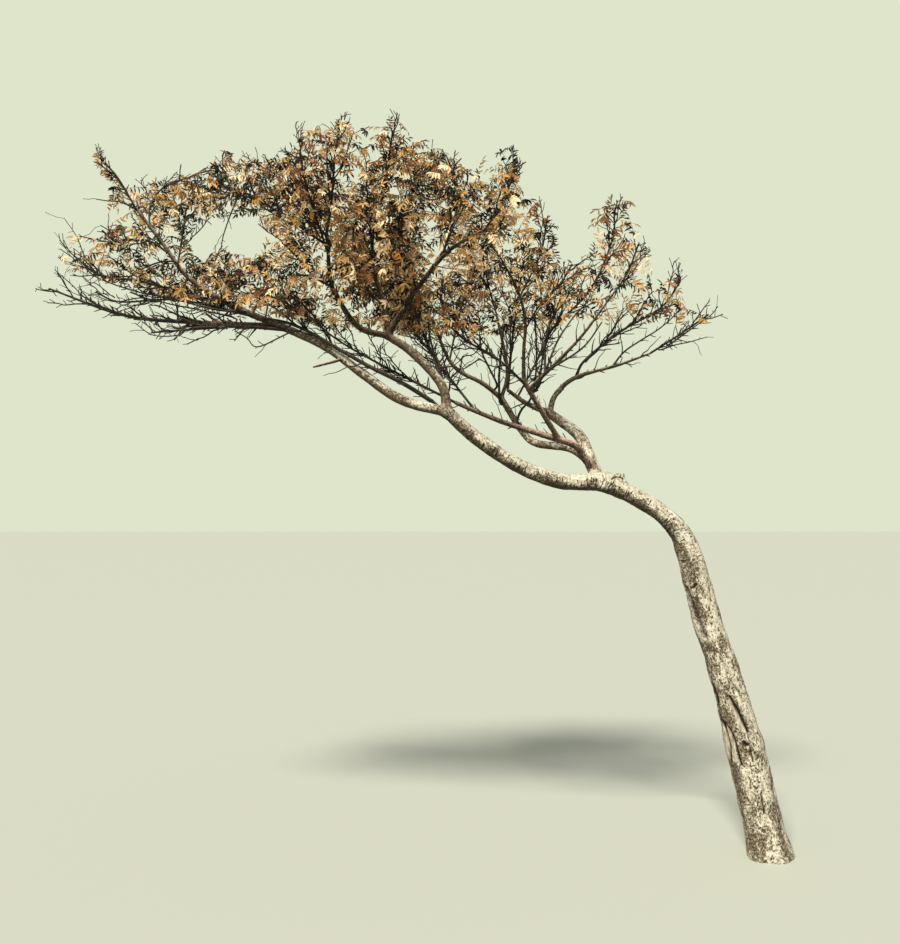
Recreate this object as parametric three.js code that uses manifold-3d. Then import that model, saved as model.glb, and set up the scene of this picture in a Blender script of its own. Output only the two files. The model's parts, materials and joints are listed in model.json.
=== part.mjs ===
// A leaning rowan (mountain ash) in autumn, 3.3 m tall, as a scene graph of named solids in millimetres.
// +Z is up, the lean runs towards -X, and the origin is the middle of the flat cut under the trunk.
// The trunk and boughs are tapering limbs. Each mass of foliage is one shoot whose twigs and leaves
// grow by a seeded rule and keep to the space nearest to that shoot.
import * as THREE from "three";
import { mergeVertices } from "three/addons/utils/BufferGeometryUtils.js";
import Module from "manifold-3d";

const wasm = await Module();
wasm.setup();

// Clearances: between pieces that meet, between two masses, and from foliage to a limb's skin.
const JOINT_GAP = 0.3;
const SPACE_GAP = 5;
const LIMB_GAP = 4;

// The foot of the trunk: how much wider it is at the ground, how fast that dies away upwards, and how
// far its middle line runs below the cut.
const FLARE = 0.3;
const FLARE_HEIGHT = 95;
const ROOT_LOBES = 5;
const LOBE_DEPTH = 0.1;
const BELOW_GROUND = 90;

// Faceting: the length of one step along a limb, and the corners of a section by its width.
const LIMB_STEP = 105;
const STOUT_WIDTH = 40;
const STOUT_SIDES = 8;
const SLIM_SIDES = 6;
const SHOOT_SIDES = 4;
const TWIG_SIDES = 3;

// Twigs: spacing and first place along a shoot, angle to it, length as a share of its reach, how far
// they turn upwards, and the turn round the shoot from each to the next.
const TWIG_STEP = 120;
const TWIG_FROM = 0.22;
const TWIG_SPREAD = [0.75, 1.25];
const TWIG_SHARE = [0.28, 0.6];
const TWIG_LIFT = 0.35;
const SPIRAL_TURN = 2.4;
const TWIG_FOOT = 0.62;
const TWIG_TIP = 2.4;
const SHOOT_TIP = 7;

// Leaves: one stands for a small spray of feathered leaves. Places are shares of the way along a twig
// or shoot. Below the leaf line the twigs are bare.
const LEAF_LENGTH = [115, 165];
const LEAF_WIDTH = 0.36;
const LEAF_THICK = 6;
const LEAF_PLACES = [0.95, 0.83, 0.68, 0.45];
const TIP_PLACES = [0.985, 0.95, 0.9, 0.84];
const LEAF_SPREAD = [0.75, 1.25];
const LEAST_SPREAD = 0.6;
const LEAF_DROOP = [0.1, 0.9];
const LEAF_LINE = 2290;
const ROOT_LENGTH = 12;

// A twig or leaf that would not fit is turned round its parent this often before it is left out.
const TRIES = 4;
const TWIG_RETURN = 1.7;
const LEAF_RETURN = 1.9;

const BARK = { pale: "#b3ab98", grey: "#8f8676", rust: "#8a6a5a", dark: "#5b5347" };
const TINT = { tan: "#a8763f", ochre: "#b98c48", rust: "#9c5e34", olive: "#6f6b3c", brown: "#7c5a38" };

// The trunk and boughs. thick is the width at the foot and at the tip, and through is the way from the
// place on the parent limb (at, as a share of its length) to the tip.
const LIMBS = [
  {
    name: "trunk",
    girth: [[0, 168], [0.3, 166], [0.42, 138], [0.72, 112], [0.86, 96], [1, 78]],
    sides: 12,
    bark: BARK.pale,
    through: [
      [15, 0, -BELOW_GROUND], [-60, 0, 250], [-115, 5, 490], [-205, 10, 830], [-295, 10, 1150],
      [-355, 5, 1360], [-455, 0, 1505], [-575, -5, 1585], [-735, -10, 1650],
    ],
  },
  {
    name: "left_bough", from: "trunk", at: 1, thick: [76, 54], bark: BARK.pale,
    through: [[-930, -30, 1655], [-1110, -70, 1720], [-1285, -110, 1830], [-1425, -140, 1950]],
  },
  {
    name: "low_left_bough", from: "left_bough", at: 1, thick: [46, 34], bark: BARK.pale,
    through: [[-1625, -170, 2005], [-1795, -185, 2120], [-1945, -175, 2230], [-2140, -140, 2320]],
  },
  {
    name: "far_left_bough", from: "low_left_bough", at: 1, thick: [30, 13], bark: BARK.grey,
    through: [[-2335, -100, 2405], [-2545, -60, 2535], [-2675, -20, 2700], [-2800, 20, 2860]],
  },
  {
    name: "rising_bough", from: "left_bough", at: 1, thick: [42, 34], bark: BARK.grey,
    through: [[-1450, -130, 2070], [-1575, -90, 2210], [-1680, -60, 2285]],
  },
  {
    name: "crest_bough_left", from: "rising_bough", at: 1, thick: [28, 13], bark: BARK.grey,
    through: [[-1805, -80, 2320], [-1885, -140, 2425], [-1920, -190, 2510], [-1930, -240, 2705]],
  },
  {
    name: "crest_bough_middle", from: "rising_bough", at: 1, thick: [25, 13], bark: BARK.dark,
    through: [[-1705, -10, 2440], [-1750, 10, 2585], [-1755, 30, 2740]],
  },
  {
    name: "crest_bough_right", from: "rising_bough", at: 1, thick: [28, 13], bark: BARK.dark,
    through: [[-1645, -75, 2350], [-1555, -150, 2475], [-1420, -280, 2615], [-1270, -340, 2695]],
  },
  {
    name: "right_bough", from: "trunk", at: 0.97, thick: [62, 38], bark: BARK.pale,
    through: [[-800, 40, 1770], [-840, 80, 1860], [-965, 135, 1960]],
  },
  {
    name: "rear_bough", from: "right_bough", at: 0.2, thick: [40, 26], bark: BARK.grey,
    through: [[-875, 90, 1800], [-1020, 180, 1825], [-1085, 230, 1885], [-1175, 280, 2035]],
  },
  {
    name: "rust_bough", from: "right_bough", at: 0.34, thick: [32, 18], bark: BARK.rust,
    through: [[-855, -25, 1815], [-995, 0, 1855], [-1190, 45, 1920], [-1390, 80, 2005]],
  },
  {
    name: "front_bough", from: "rust_bough", at: 0.3, thick: [26, 21], bark: BARK.grey,
    through: [[-1015, -60, 1960], [-1095, -100, 2090]],
  },
  {
    name: "front_upper_bough", from: "front_bough", at: 1, thick: [17, 9], bark: BARK.dark,
    through: [[-1095, -120, 2220], [-1090, -140, 2340], [-1125, -180, 2470], [-1200, -220, 2600]],
  },
  {
    name: "front_right_bough", from: "front_bough", at: 0.85, thick: [18, 9], bark: BARK.dark,
    through: [[-955, -150, 2165], [-850, -180, 2275], [-750, -190, 2410]],
  },
  {
    name: "far_right_bough", from: "right_bough", at: 1, thick: [30, 13], bark: BARK.grey,
    through: [[-935, 135, 2045], [-845, 110, 2120], [-665, 70, 2170], [-525, 50, 2220]],
  },
  {
    name: "rear_right_bough", from: "right_bough", at: 1, thick: [30, 17], bark: BARK.grey,
    through: [[-1065, 280, 2015], [-1140, 390, 2080]],
  },
  {
    name: "rear_left_bough", from: "rear_bough", at: 1, thick: [24, 12], bark: BARK.dark,
    through: [[-1260, 305, 2105], [-1400, 350, 2195], [-1495, 390, 2405]],
  },
  {
    name: "rear_middle_bough", from: "rear_bough", at: 1, thick: [20, 12], bark: BARK.dark,
    through: [[-1145, 320, 2170], [-1195, 340, 2430]],
  },
];

// The masses of foliage. Each is a shoot of this thickness from a place on its bough, through the places
// listed. reach is how far its twigs and leaves go from the shoot, and leafy the share of leaves kept.
const MASSES = [
  {
    name: "far_left_low_mass", from: "low_left_bough", at: 1, thick: 15,
    reach: 150, leafy: 0.3, tint: TINT.brown,
    through: [[-2495, -90, 2340], [-2825, -60, 2375], [-3165, -40, 2495]],
  },
  {
    name: "far_left_under_mass", from: "low_left_bough", at: 0.94, thick: 11,
    reach: 140, leafy: 0.35, tint: TINT.brown,
    through: [[-2300, -200, 2310], [-2470, -210, 2300], [-2680, -200, 2285]],
  },
  {
    name: "far_left_arch_mass", from: "far_left_bough", at: 0.28, thick: 11,
    reach: 170, leafy: 0.5, tint: TINT.tan,
    through: [[-2485, -140, 2445], [-2735, -160, 2510], [-2910, -150, 2535], [-3030, -130, 2625]],
  },
  {
    name: "far_left_rear_mass", from: "far_left_bough", at: 0.1, thick: 11,
    reach: 170, leafy: 0.4, tint: TINT.brown,
    through: [[-2605, 40, 2455], [-2885, 90, 2455], [-3000, 100, 2500]],
  },
  {
    name: "left_spire_mass", from: "far_left_bough", at: 1, thick: 9,
    reach: 160, leafy: 0.65, tint: TINT.tan,
    through: [[-2885, 30, 3000], [-2955, 30, 3075]],
  },
  {
    name: "left_crest_mass", from: "far_left_bough", at: 0.88, thick: 9,
    reach: 180, leafy: 0.75, tint: TINT.ochre,
    through: [[-2745, 60, 2880], [-2700, 110, 2970], [-2600, 130, 3020]],
  },
  {
    name: "left_middle_mass", from: "far_left_bough", at: 0.7, thick: 9,
    reach: 190, leafy: 0.75, tint: TINT.tan,
    through: [[-2740, -60, 2705], [-2835, -120, 2680], [-2905, -140, 2730]],
  },
  {
    name: "left_dark_mass", from: "far_left_bough", at: 0.62, thick: 9,
    reach: 180, leafy: 0.85, tint: TINT.olive,
    through: [[-2595, 40, 2760], [-2575, 80, 2900], [-2465, 100, 2980]],
  },
  {
    name: "over_gap_mass", from: "crest_bough_left", at: 0.9, thick: 12,
    reach: 190, leafy: 0.85, tint: TINT.olive,
    through: [[-2200, -190, 2835], [-2350, -110, 2900], [-2440, -60, 2990]],
  },
  {
    name: "left_dome_mass", from: "crest_bough_left", at: 0.96, thick: 11,
    reach: 200, leafy: 0.85, tint: TINT.ochre,
    through: [[-2120, -60, 2930], [-2215, 0, 3030]],
  },
  {
    name: "under_gap_mass", from: "far_left_bough", at: 0.33, thick: 8,
    reach: 160, leafy: 0.8, tint: TINT.tan,
    through: [[-2385, -160, 2490], [-2305, -200, 2540], [-2220, -210, 2590]],
  },
  {
    name: "under_gap_rear_mass", from: "far_left_bough", at: 0.46, thick: 8,
    reach: 170, leafy: 0.75, tint: TINT.olive,
    through: [[-2500, 60, 2550], [-2480, 140, 2620]],
  },
  {
    name: "beside_gap_mass", from: "crest_bough_left", at: 0.6, thick: 9,
    reach: 180, leafy: 0.85, tint: TINT.tan,
    through: [[-1990, -260, 2520], [-2055, -280, 2600], [-2100, -280, 2670]],
  },
  {
    name: "low_left_mass", from: "low_left_bough", at: 0.8, thick: 9,
    reach: 170, leafy: 0.75, tint: TINT.rust,
    through: [[-2080, -240, 2390], [-2190, -250, 2440]],
  },
  {
    name: "left_peak_mass", from: "crest_bough_left", at: 1, thick: 12,
    reach: 180, leafy: 0.85, tint: TINT.tan,
    through: [[-1910, -250, 2835], [-1895, -240, 3040], [-1875, -230, 3160]],
  },
  {
    name: "front_peak_mass", from: "crest_bough_left", at: 0.84, thick: 10,
    reach: 200, leafy: 0.85, tint: TINT.rust,
    through: [[-2000, -380, 2860], [-2025, -400, 3010]],
  },
  {
    name: "middle_peak_mass", from: "crest_bough_middle", at: 1, thick: 11,
    reach: 180, leafy: 0.85, tint: TINT.ochre,
    through: [[-1700, 20, 2960], [-1665, 10, 3200]],
  },
  {
    name: "middle_front_mass", from: "crest_bough_middle", at: 0.78, thick: 9,
    reach: 180, leafy: 0.85, tint: TINT.tan,
    through: [[-1790, -90, 2740], [-1760, -140, 2860]],
  },
  {
    name: "middle_rear_mass", from: "crest_bough_middle", at: 0.9, thick: 10,
    reach: 190, leafy: 0.85, tint: TINT.olive,
    through: [[-1620, 160, 2860], [-1560, 200, 3080]],
  },
  {
    name: "middle_low_mass", from: "crest_bough_middle", at: 0.3, thick: 8,
    reach: 180, leafy: 0.85, tint: TINT.rust,
    through: [[-1790, -110, 2500], [-1790, -220, 2560]],
  },
  {
    name: "heart_mass", from: "crest_bough_right", at: 0.38, thick: 9,
    reach: 180, leafy: 0.85, tint: TINT.brown,
    through: [[-1610, -230, 2560], [-1630, -260, 2680]],
  },
  {
    name: "right_crest_mass", from: "crest_bough_right", at: 0.66, thick: 11,
    reach: 190, leafy: 0.85, tint: TINT.tan,
    through: [[-1380, -300, 2800], [-1415, -290, 2985]],
  },
  {
    name: "right_peak_mass", from: "crest_bough_right", at: 1, thick: 10,
    reach: 190, leafy: 0.85, tint: TINT.ochre,
    through: [[-1190, -350, 2810], [-1140, -340, 2980]],
  },
  {
    name: "front_low_mass", from: "front_bough", at: 0.9, thick: 12,
    reach: 180, leafy: 0.75, tint: TINT.brown,
    through: [[-1205, -190, 2170], [-1390, -270, 2280], [-1455, -330, 2430]],
  },
  {
    name: "front_crest_mass", from: "front_upper_bough", at: 1, thick: 8,
    reach: 180, leafy: 0.85, tint: TINT.tan,
    through: [[-1240, -220, 2675], [-1180, -180, 2780]],
  },
  {
    name: "front_right_mass", from: "front_upper_bough", at: 0.66, thick: 8,
    reach: 180, leafy: 0.7, tint: TINT.ochre,
    through: [[-1020, -70, 2640], [-990, -40, 2790]],
  },
  {
    name: "front_side_mass", from: "front_upper_bough", at: 0.4, thick: 8,
    reach: 160, leafy: 0.65, tint: TINT.tan,
    through: [[-1025, -90, 2415], [-935, -60, 2510], [-880, -50, 2600]],
  },
  {
    name: "right_spire_mass", from: "front_right_bough", at: 0.2, thick: 12,
    reach: 160, leafy: 0.5, tint: TINT.rust,
    through: [[-980, -50, 2295], [-795, 10, 2495], [-695, 30, 2720], [-685, 30, 2850]],
  },
  {
    name: "right_side_mass", from: "front_right_bough", at: 1, thick: 8,
    reach: 150, leafy: 0.4, tint: TINT.brown,
    through: [[-660, -170, 2535], [-605, -150, 2670]],
  },
  {
    name: "right_clump_mass", from: "far_right_bough", at: 0.5, thick: 11,
    reach: 190, leafy: 0.75, tint: TINT.ochre,
    through: [[-640, 150, 2330], [-455, 180, 2440], [-365, 180, 2560]],
  },
  {
    name: "far_right_mass", from: "far_right_bough", at: 1, thick: 10,
    reach: 150, leafy: 0.5, tint: TINT.tan,
    through: [[-385, 40, 2310], [-270, 20, 2390]],
  },
  {
    name: "rear_left_mass", from: "rear_left_bough", at: 1, thick: 10,
    reach: 210, leafy: 0.85, tint: TINT.tan,
    through: [[-1590, 430, 2600], [-1650, 440, 2800]],
  },
  {
    name: "rear_low_mass", from: "rear_left_bough", at: 0.6, thick: 10,
    reach: 210, leafy: 0.85, tint: TINT.brown,
    through: [[-1380, 500, 2400], [-1330, 560, 2600]],
  },
  {
    name: "rear_middle_mass", from: "rear_middle_bough", at: 1, thick: 9,
    reach: 200, leafy: 0.85, tint: TINT.rust,
    through: [[-1235, 360, 2580], [-1265, 330, 2740]],
  },
  {
    name: "rear_right_mass", from: "rear_right_bough", at: 1, thick: 13,
    reach: 210, leafy: 0.85, tint: TINT.tan,
    through: [[-1110, 470, 2370], [-1080, 480, 2585], [-1050, 450, 2750]],
  },
  {
    name: "rear_side_mass", from: "rear_right_bough", at: 0.75, thick: 11,
    reach: 210, leafy: 0.75, tint: TINT.olive,
    through: [[-960, 520, 2300], [-870, 560, 2560]],
  },
  {
    name: "inner_left_mass", from: "rust_bough", at: 1, thick: 13,
    reach: 200, leafy: 0.65, tint: TINT.brown,
    through: [[-1735, 240, 2190], [-1950, 330, 2320], [-2110, 370, 2460]],
  },
  {
    name: "inner_rear_mass", from: "rust_bough", at: 0.85, thick: 12,
    reach: 210, leafy: 0.75, tint: TINT.tan,
    through: [[-1600, 400, 2380], [-1765, 470, 2580], [-1850, 480, 2720]],
  },
  {
    name: "inner_front_mass", from: "rising_bough", at: 0.25, thick: 10,
    reach: 180, leafy: 0.75, tint: TINT.rust,
    through: [[-1500, 0, 2240], [-1580, 120, 2420], [-1640, 200, 2560]],
  },
  {
    name: "rear_dome_mass", from: "crest_bough_middle", at: 0.6, thick: 12,
    reach: 220, leafy: 0.85, tint: TINT.ochre,
    through: [[-1890, 200, 2820], [-2090, 260, 2990]],
  },
];

// A repeatable number from 0 to 1 for each list of whole numbers.
function chance(...key) {
  let mixed = 0x9e3779b9;
  for (const number of key) {
    mixed = Math.imul(mixed ^ number, 0x85ebca6b);
    mixed ^= mixed >>> 13;
    mixed = Math.imul(mixed, 0xc2b2ae35);
    mixed ^= mixed >>> 16;
  }
  return (mixed >>> 0) / 4294967296;
}

function between([low, high], share) {
  return low + (high - low) * share;
}

// The value at a share of the way along a list of [share, value] steps.
function alongSteps(steps, share) {
  const after = Math.max(1, steps.findIndex(([place]) => place >= share));
  const [from, low] = steps[after - 1];
  const [to, high] = steps[after];
  return low + ((high - low) * (share - from)) / (to - from);
}

// A closed geometry as a solid that can be joined and cut.
function solidOf(geometry) {
  geometry.deleteAttribute("normal");
  geometry.deleteAttribute("uv");
  const merged = mergeVertices(geometry, 1e-3);
  return new wasm.Manifold(
    new wasm.Mesh({
      numProp: 3,
      vertProperties: merged.getAttribute("position").array,
      triVerts: new Uint32Array(merged.index.array),
    }),
  );
}

// The largest body of a solid that a cut may have left in several.
function largestOf(solid) {
  return solid.decompose().sort((a, b) => b.volume() - a.volume())[0];
}

// A round bar bent along a curve. Its radius is given for each share of the length and angle round it,
// and its skin and ends move out by grown where it cuts its neighbours clear of it.
function bentBar(curve, sides, rings, radiusAt, grown = 0) {
  const { tangents, normals, binormals } = curve.computeFrenetFrames(rings);
  const middles = curve.getSpacedPoints(rings);
  middles[0].addScaledVector(tangents[0], -grown);
  middles[rings].addScaledVector(tangents[rings], grown);
  const geometry = new THREE.CylinderGeometry(1, 1, 1, sides, rings);
  const corners = geometry.getAttribute("position");
  const place = new THREE.Vector3();
  for (let i = 0; i < corners.count; i += 1) {
    const ring = Math.round((corners.getY(i) + 0.5) * rings);
    const across = corners.getX(i);
    const along = corners.getZ(i);
    const radius = radiusAt(ring / rings, Math.atan2(along, across)) + grown;
    place.copy(middles[ring]);
    place.addScaledVector(binormals[ring], across * radius);
    place.addScaledVector(normals[ring], along * radius);
    corners.setXYZ(i, place.x, place.y, place.z);
  }
  return solidOf(geometry);
}

// A limb or shoot, from its place on its parent through the places in its row. spans are the straight
// steps between its rings, as the faceted solid has them.
function growLimb(row, parent, steps, ringsFor) {
  const places = row.through.map((place) => new THREE.Vector3(...place));
  if (parent) {
    places.unshift(parent.curve.getPointAt(row.at));
  }
  const curve = new THREE.CatmullRomCurve3(places, false, "catmullrom", 0.5);
  const rings = ringsFor(curve.getLength());
  const radiusAt = (share) => alongSteps(steps, share) / 2;
  const middles = curve.getSpacedPoints(rings);
  const axis = new THREE.CurvePath();
  for (let i = 0; i < rings; i += 1) {
    axis.add(new THREE.LineCurve3(middles[i], middles[i + 1]));
  }
  const spans = middles.slice(1).map((end, i) => ({
    line: new THREE.Line3(middles[i], end),
    radius: radiusAt(i / rings),
  }));
  return { ...row, curve, rings, radiusAt, axis, spans };
}

// How much wider the foot of the trunk is at a height and an angle round it.
function flareAt(height, angle) {
  const fade = Math.exp(-Math.max(height, 0) / FLARE_HEIGHT);
  return 1 + fade * (FLARE + LOBE_DEPTH * Math.cos(ROOT_LOBES * angle));
}

const limbs = new Map();
for (const row of LIMBS) {
  const steps = row.girth || [[0, row.thick[0]], [1, row.thick[1]]];
  const ringsFor = (length) => Math.max(3, Math.round(length / LIMB_STEP));
  limbs.set(row.name, growLimb(row, limbs.get(row.from), steps, ringsFor));
}

const shoots = MASSES.map((row, number) => {
  const steps = [[0, row.thick], [1, SHOOT_TIP]];
  const ringsFor = () => row.through.length + 2;
  return { number, ...growLimb(row, limbs.get(row.from), steps, ringsFor) };
});

function limbSolid(limb, grown) {
  const flared = (share, angle) => flareAt(limb.curve.getPointAt(share).z, angle);
  const widen = limb.girth ? flared : () => 1;
  const sides = limb.sides || (limb.thick[0] > STOUT_WIDTH ? STOUT_SIDES : SLIM_SIDES);
  const radiusAt = (share, angle) => limb.radiusAt(share) * widen(share, angle);
  return bentBar(limb.curve, sides, limb.rings, radiusAt, grown);
}

// The least distance from a point to a limb's middle line, less its radius where that counts.
const foot = new THREE.Vector3();
function distanceTo(limb, point, fromSkin) {
  let least = Infinity;
  for (const span of limb.spans) {
    span.line.closestPointToPoint(point, true, foot);
    least = Math.min(least, foot.distanceTo(point) - (fromSkin ? span.radius : 0));
  }
  return least;
}

// Whether the points lie in a shoot's own space: within its reach, nearer to it than to any other
// shoot, and clear of every limb.
function fits(shoot, points) {
  return points.every((point) => {
    const own = distanceTo(shoot, point, false);
    const isNearest = (other) => other === shoot || distanceTo(other, point, false) > own + SPACE_GAP;
    const isClear = (limb) => distanceTo(limb, point, true) > LIMB_GAP;
    return own < shoot.reach && shoots.every(isNearest) && [...limbs.values()].every(isClear);
  });
}

const UP = new THREE.Vector3(0, 0, 1);
const SIDEWAYS = new THREE.Vector3(1, 0, 0);

// A direction at an angle to a line, turned round it.
function leaving(along, spread, turn) {
  const side = new THREE.Vector3().crossVectors(along, Math.abs(along.z) > 0.9 ? SIDEWAYS : UP);
  side.normalize().applyAxisAngle(along, turn);
  return along.clone().multiplyScalar(Math.cos(spread)).addScaledVector(side, Math.sin(spread));
}

// An eight-faced leaf that points away from its root: its solid, and its corners beyond the root.
function leafFrom(root, away, length, roll) {
  const across = leaving(away, Math.PI / 2, roll);
  const normal = new THREE.Vector3().crossVectors(away, across);
  const size = new THREE.Vector3(length / 2, (length * LEAF_WIDTH) / 2, LEAF_THICK / 2);
  const placed = new THREE.Matrix4().makeBasis(away, across, normal).scale(size);
  placed.setPosition(root.clone().addScaledVector(away, length / 2));
  const geometry = new THREE.OctahedronGeometry(1).applyMatrix4(placed);
  const corners = geometry.getAttribute("position");
  const points = [];
  for (let i = 0; i < corners.count; i += 1) {
    points.push(new THREE.Vector3().fromBufferAttribute(corners, i));
  }
  const tips = points.filter((point) => point.distanceTo(root) > ROOT_LENGTH);
  return { solid: solidOf(geometry), points: tips };
}

// The twigs of a shoot, spaced along it and turned round it like a spiral.
function twigsOf(shoot) {
  const count = Math.round(shoot.curve.getLength() / TWIG_STEP);
  const twigs = [];
  for (let i = 0; i < count; i += 1) {
    const pick = (use) => chance(shoot.number, i, use);
    const share = TWIG_FROM + ((1 - TWIG_FROM) * (i + between([0.3, 0.7], pick(0)))) / count;
    const base = shoot.axis.getPoint(share);
    const along = shoot.axis.getTangent(share);
    const length = shoot.reach * between(TWIG_SHARE, pick(2)) * between([1.15, 0.7], share);
    for (let turn = 0; turn < TRIES; turn += 1) {
      const round = SPIRAL_TURN * i + TWIG_RETURN * turn + pick(3);
      const away = leaving(along, between(TWIG_SPREAD, pick(1)), round);
      away.addScaledVector(UP, TWIG_LIFT).normalize();
      const middle = base.clone().addScaledVector(away, length / 2);
      const tip = base.clone().addScaledVector(away, length);
      if (fits(shoot, [middle, tip])) {
        const axis = new THREE.LineCurve3(base, tip);
        const widths = [TWIG_FOOT * shoot.radiusAt(share), TWIG_TIP];
        const solid = bentBar(axis, TWIG_SIDES, 1, (place) => between(widths, place));
        twigs.push({ number: i, axis, solid });
        break;
      }
    }
  }
  return twigs;
}

// The leaves along a twig or at a shoot's tip, each clear of the pieces that grew before it.
function leavesOn(shoot, twig, places, before) {
  const leaves = [];
  places.forEach((share, place) => {
    const pick = (use) => chance(shoot.number, twig.number, place, use);
    const root = twig.axis.getPoint(share);
    const along = twig.axis.getTangent(share);
    if (pick(0) > shoot.leafy || root.z < LEAF_LINE) {
      return;
    }
    for (let turn = 0; turn < TRIES; turn += 1) {
      const round = SPIRAL_TURN * (place + 1) + LEAF_RETURN * turn + 2 * Math.PI * pick(3);
      const away = leaving(along, between(LEAF_SPREAD, pick(2)), round);
      away.addScaledVector(UP, -between(LEAF_DROOP, pick(4))).normalize();
      const leaf = leafFrom(root, away, between(LEAF_LENGTH, pick(1)), 2 * Math.PI * pick(5));
      const apart = [...before, ...leaves].every((other) => leaf.solid.intersect(other).isEmpty());
      if (away.angleTo(along) > LEAST_SPREAD && apart && fits(shoot, leaf.points)) {
        leaves.push(leaf.solid);
        break;
      }
    }
  });
  return leaves;
}

// A mass of foliage as one body: its shoot, twigs and leaves joined, and cut clear of the limbs.
function massSolid(shoot, cutters) {
  const stem = bentBar(shoot.curve, SHOOT_SIDES, shoot.rings, shoot.radiusAt);
  const tip = { number: MASSES.length, axis: shoot.axis, solid: stem };
  const wood = [tip, ...twigsOf(shoot)];
  const leaves = [];
  for (const twig of wood) {
    const others = wood.filter((other) => other !== twig).map((other) => other.solid);
    const places = twig === tip ? TIP_PLACES : LEAF_PLACES;
    leaves.push(...leavesOn(shoot, twig, places, [...others, ...leaves]));
  }
  const pieces = [...wood.map((twig) => twig.solid), ...leaves];
  const joined = pieces.reduce((whole, piece) => whole.add(piece));
  return largestOf(cutters.reduce((whole, cutter) => whole.subtract(cutter), joined));
}

function meshOf(name, solid, colour, roughness) {
  const made = solid.getMesh();
  const geometry = new THREE.BufferGeometry();
  geometry.setAttribute("position", new THREE.BufferAttribute(made.vertProperties, 3));
  geometry.setIndex(new THREE.BufferAttribute(made.triVerts, 1));
  geometry.computeVertexNormals();
  const material = new THREE.MeshStandardMaterial({ color: colour, roughness, metalness: 0 });
  const mesh = new THREE.Mesh(geometry, material);
  mesh.name = name;
  return mesh;
}

const tree = new THREE.Group();
tree.name = "rowan";

// Each limb is cut clear of those before it, and the trunk is cut flat at the ground.
const underground = new THREE.BoxGeometry(1000, 1000, 2 * BELOW_GROUND).translate(0, 0, -BELOW_GROUND);
const cutters = [solidOf(underground)];
for (const limb of limbs.values()) {
  const whole = limbSolid(limb, 0);
  const cut = cutters.reduce((left, cutter) => left.subtract(cutter), whole);
  tree.add(meshOf(limb.name, largestOf(cut), limb.bark, 0.9));
  cutters.push(limbSolid(limb, JOINT_GAP));
}
for (const shoot of shoots) {
  tree.add(meshOf(shoot.name, massSolid(shoot, cutters), shoot.tint, 0.7));
}

export default tree;
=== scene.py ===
import json
import math

import bmesh
import bpy
import numpy as np
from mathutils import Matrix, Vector, noise

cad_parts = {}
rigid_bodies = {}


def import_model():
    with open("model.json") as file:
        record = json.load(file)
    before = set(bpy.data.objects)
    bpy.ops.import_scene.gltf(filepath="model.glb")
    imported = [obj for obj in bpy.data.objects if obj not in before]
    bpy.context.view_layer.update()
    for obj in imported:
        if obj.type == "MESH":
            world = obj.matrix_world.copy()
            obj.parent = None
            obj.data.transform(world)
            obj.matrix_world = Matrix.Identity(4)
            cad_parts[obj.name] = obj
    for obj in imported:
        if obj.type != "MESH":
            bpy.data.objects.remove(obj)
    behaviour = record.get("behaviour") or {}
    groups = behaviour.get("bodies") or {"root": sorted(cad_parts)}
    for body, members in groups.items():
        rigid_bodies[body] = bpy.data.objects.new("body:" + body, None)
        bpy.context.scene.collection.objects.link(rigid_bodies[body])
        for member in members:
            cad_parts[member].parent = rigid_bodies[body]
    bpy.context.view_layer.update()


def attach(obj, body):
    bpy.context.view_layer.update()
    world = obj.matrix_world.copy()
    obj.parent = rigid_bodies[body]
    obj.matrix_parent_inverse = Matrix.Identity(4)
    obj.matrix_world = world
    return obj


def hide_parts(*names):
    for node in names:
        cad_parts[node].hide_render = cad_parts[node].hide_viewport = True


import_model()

# The trunk and boughs of a rowan (mountain ash): live wood under thin bark, pale with lichen. One
# leaning stem forks low in the crown, and each bough tapers along its own bends. They grew as one
# piece, so one skin runs over them all, with a fillet in each fork and a flat cut at the ground.
MM = 0.001
BELOW_GROUND = 90
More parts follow.
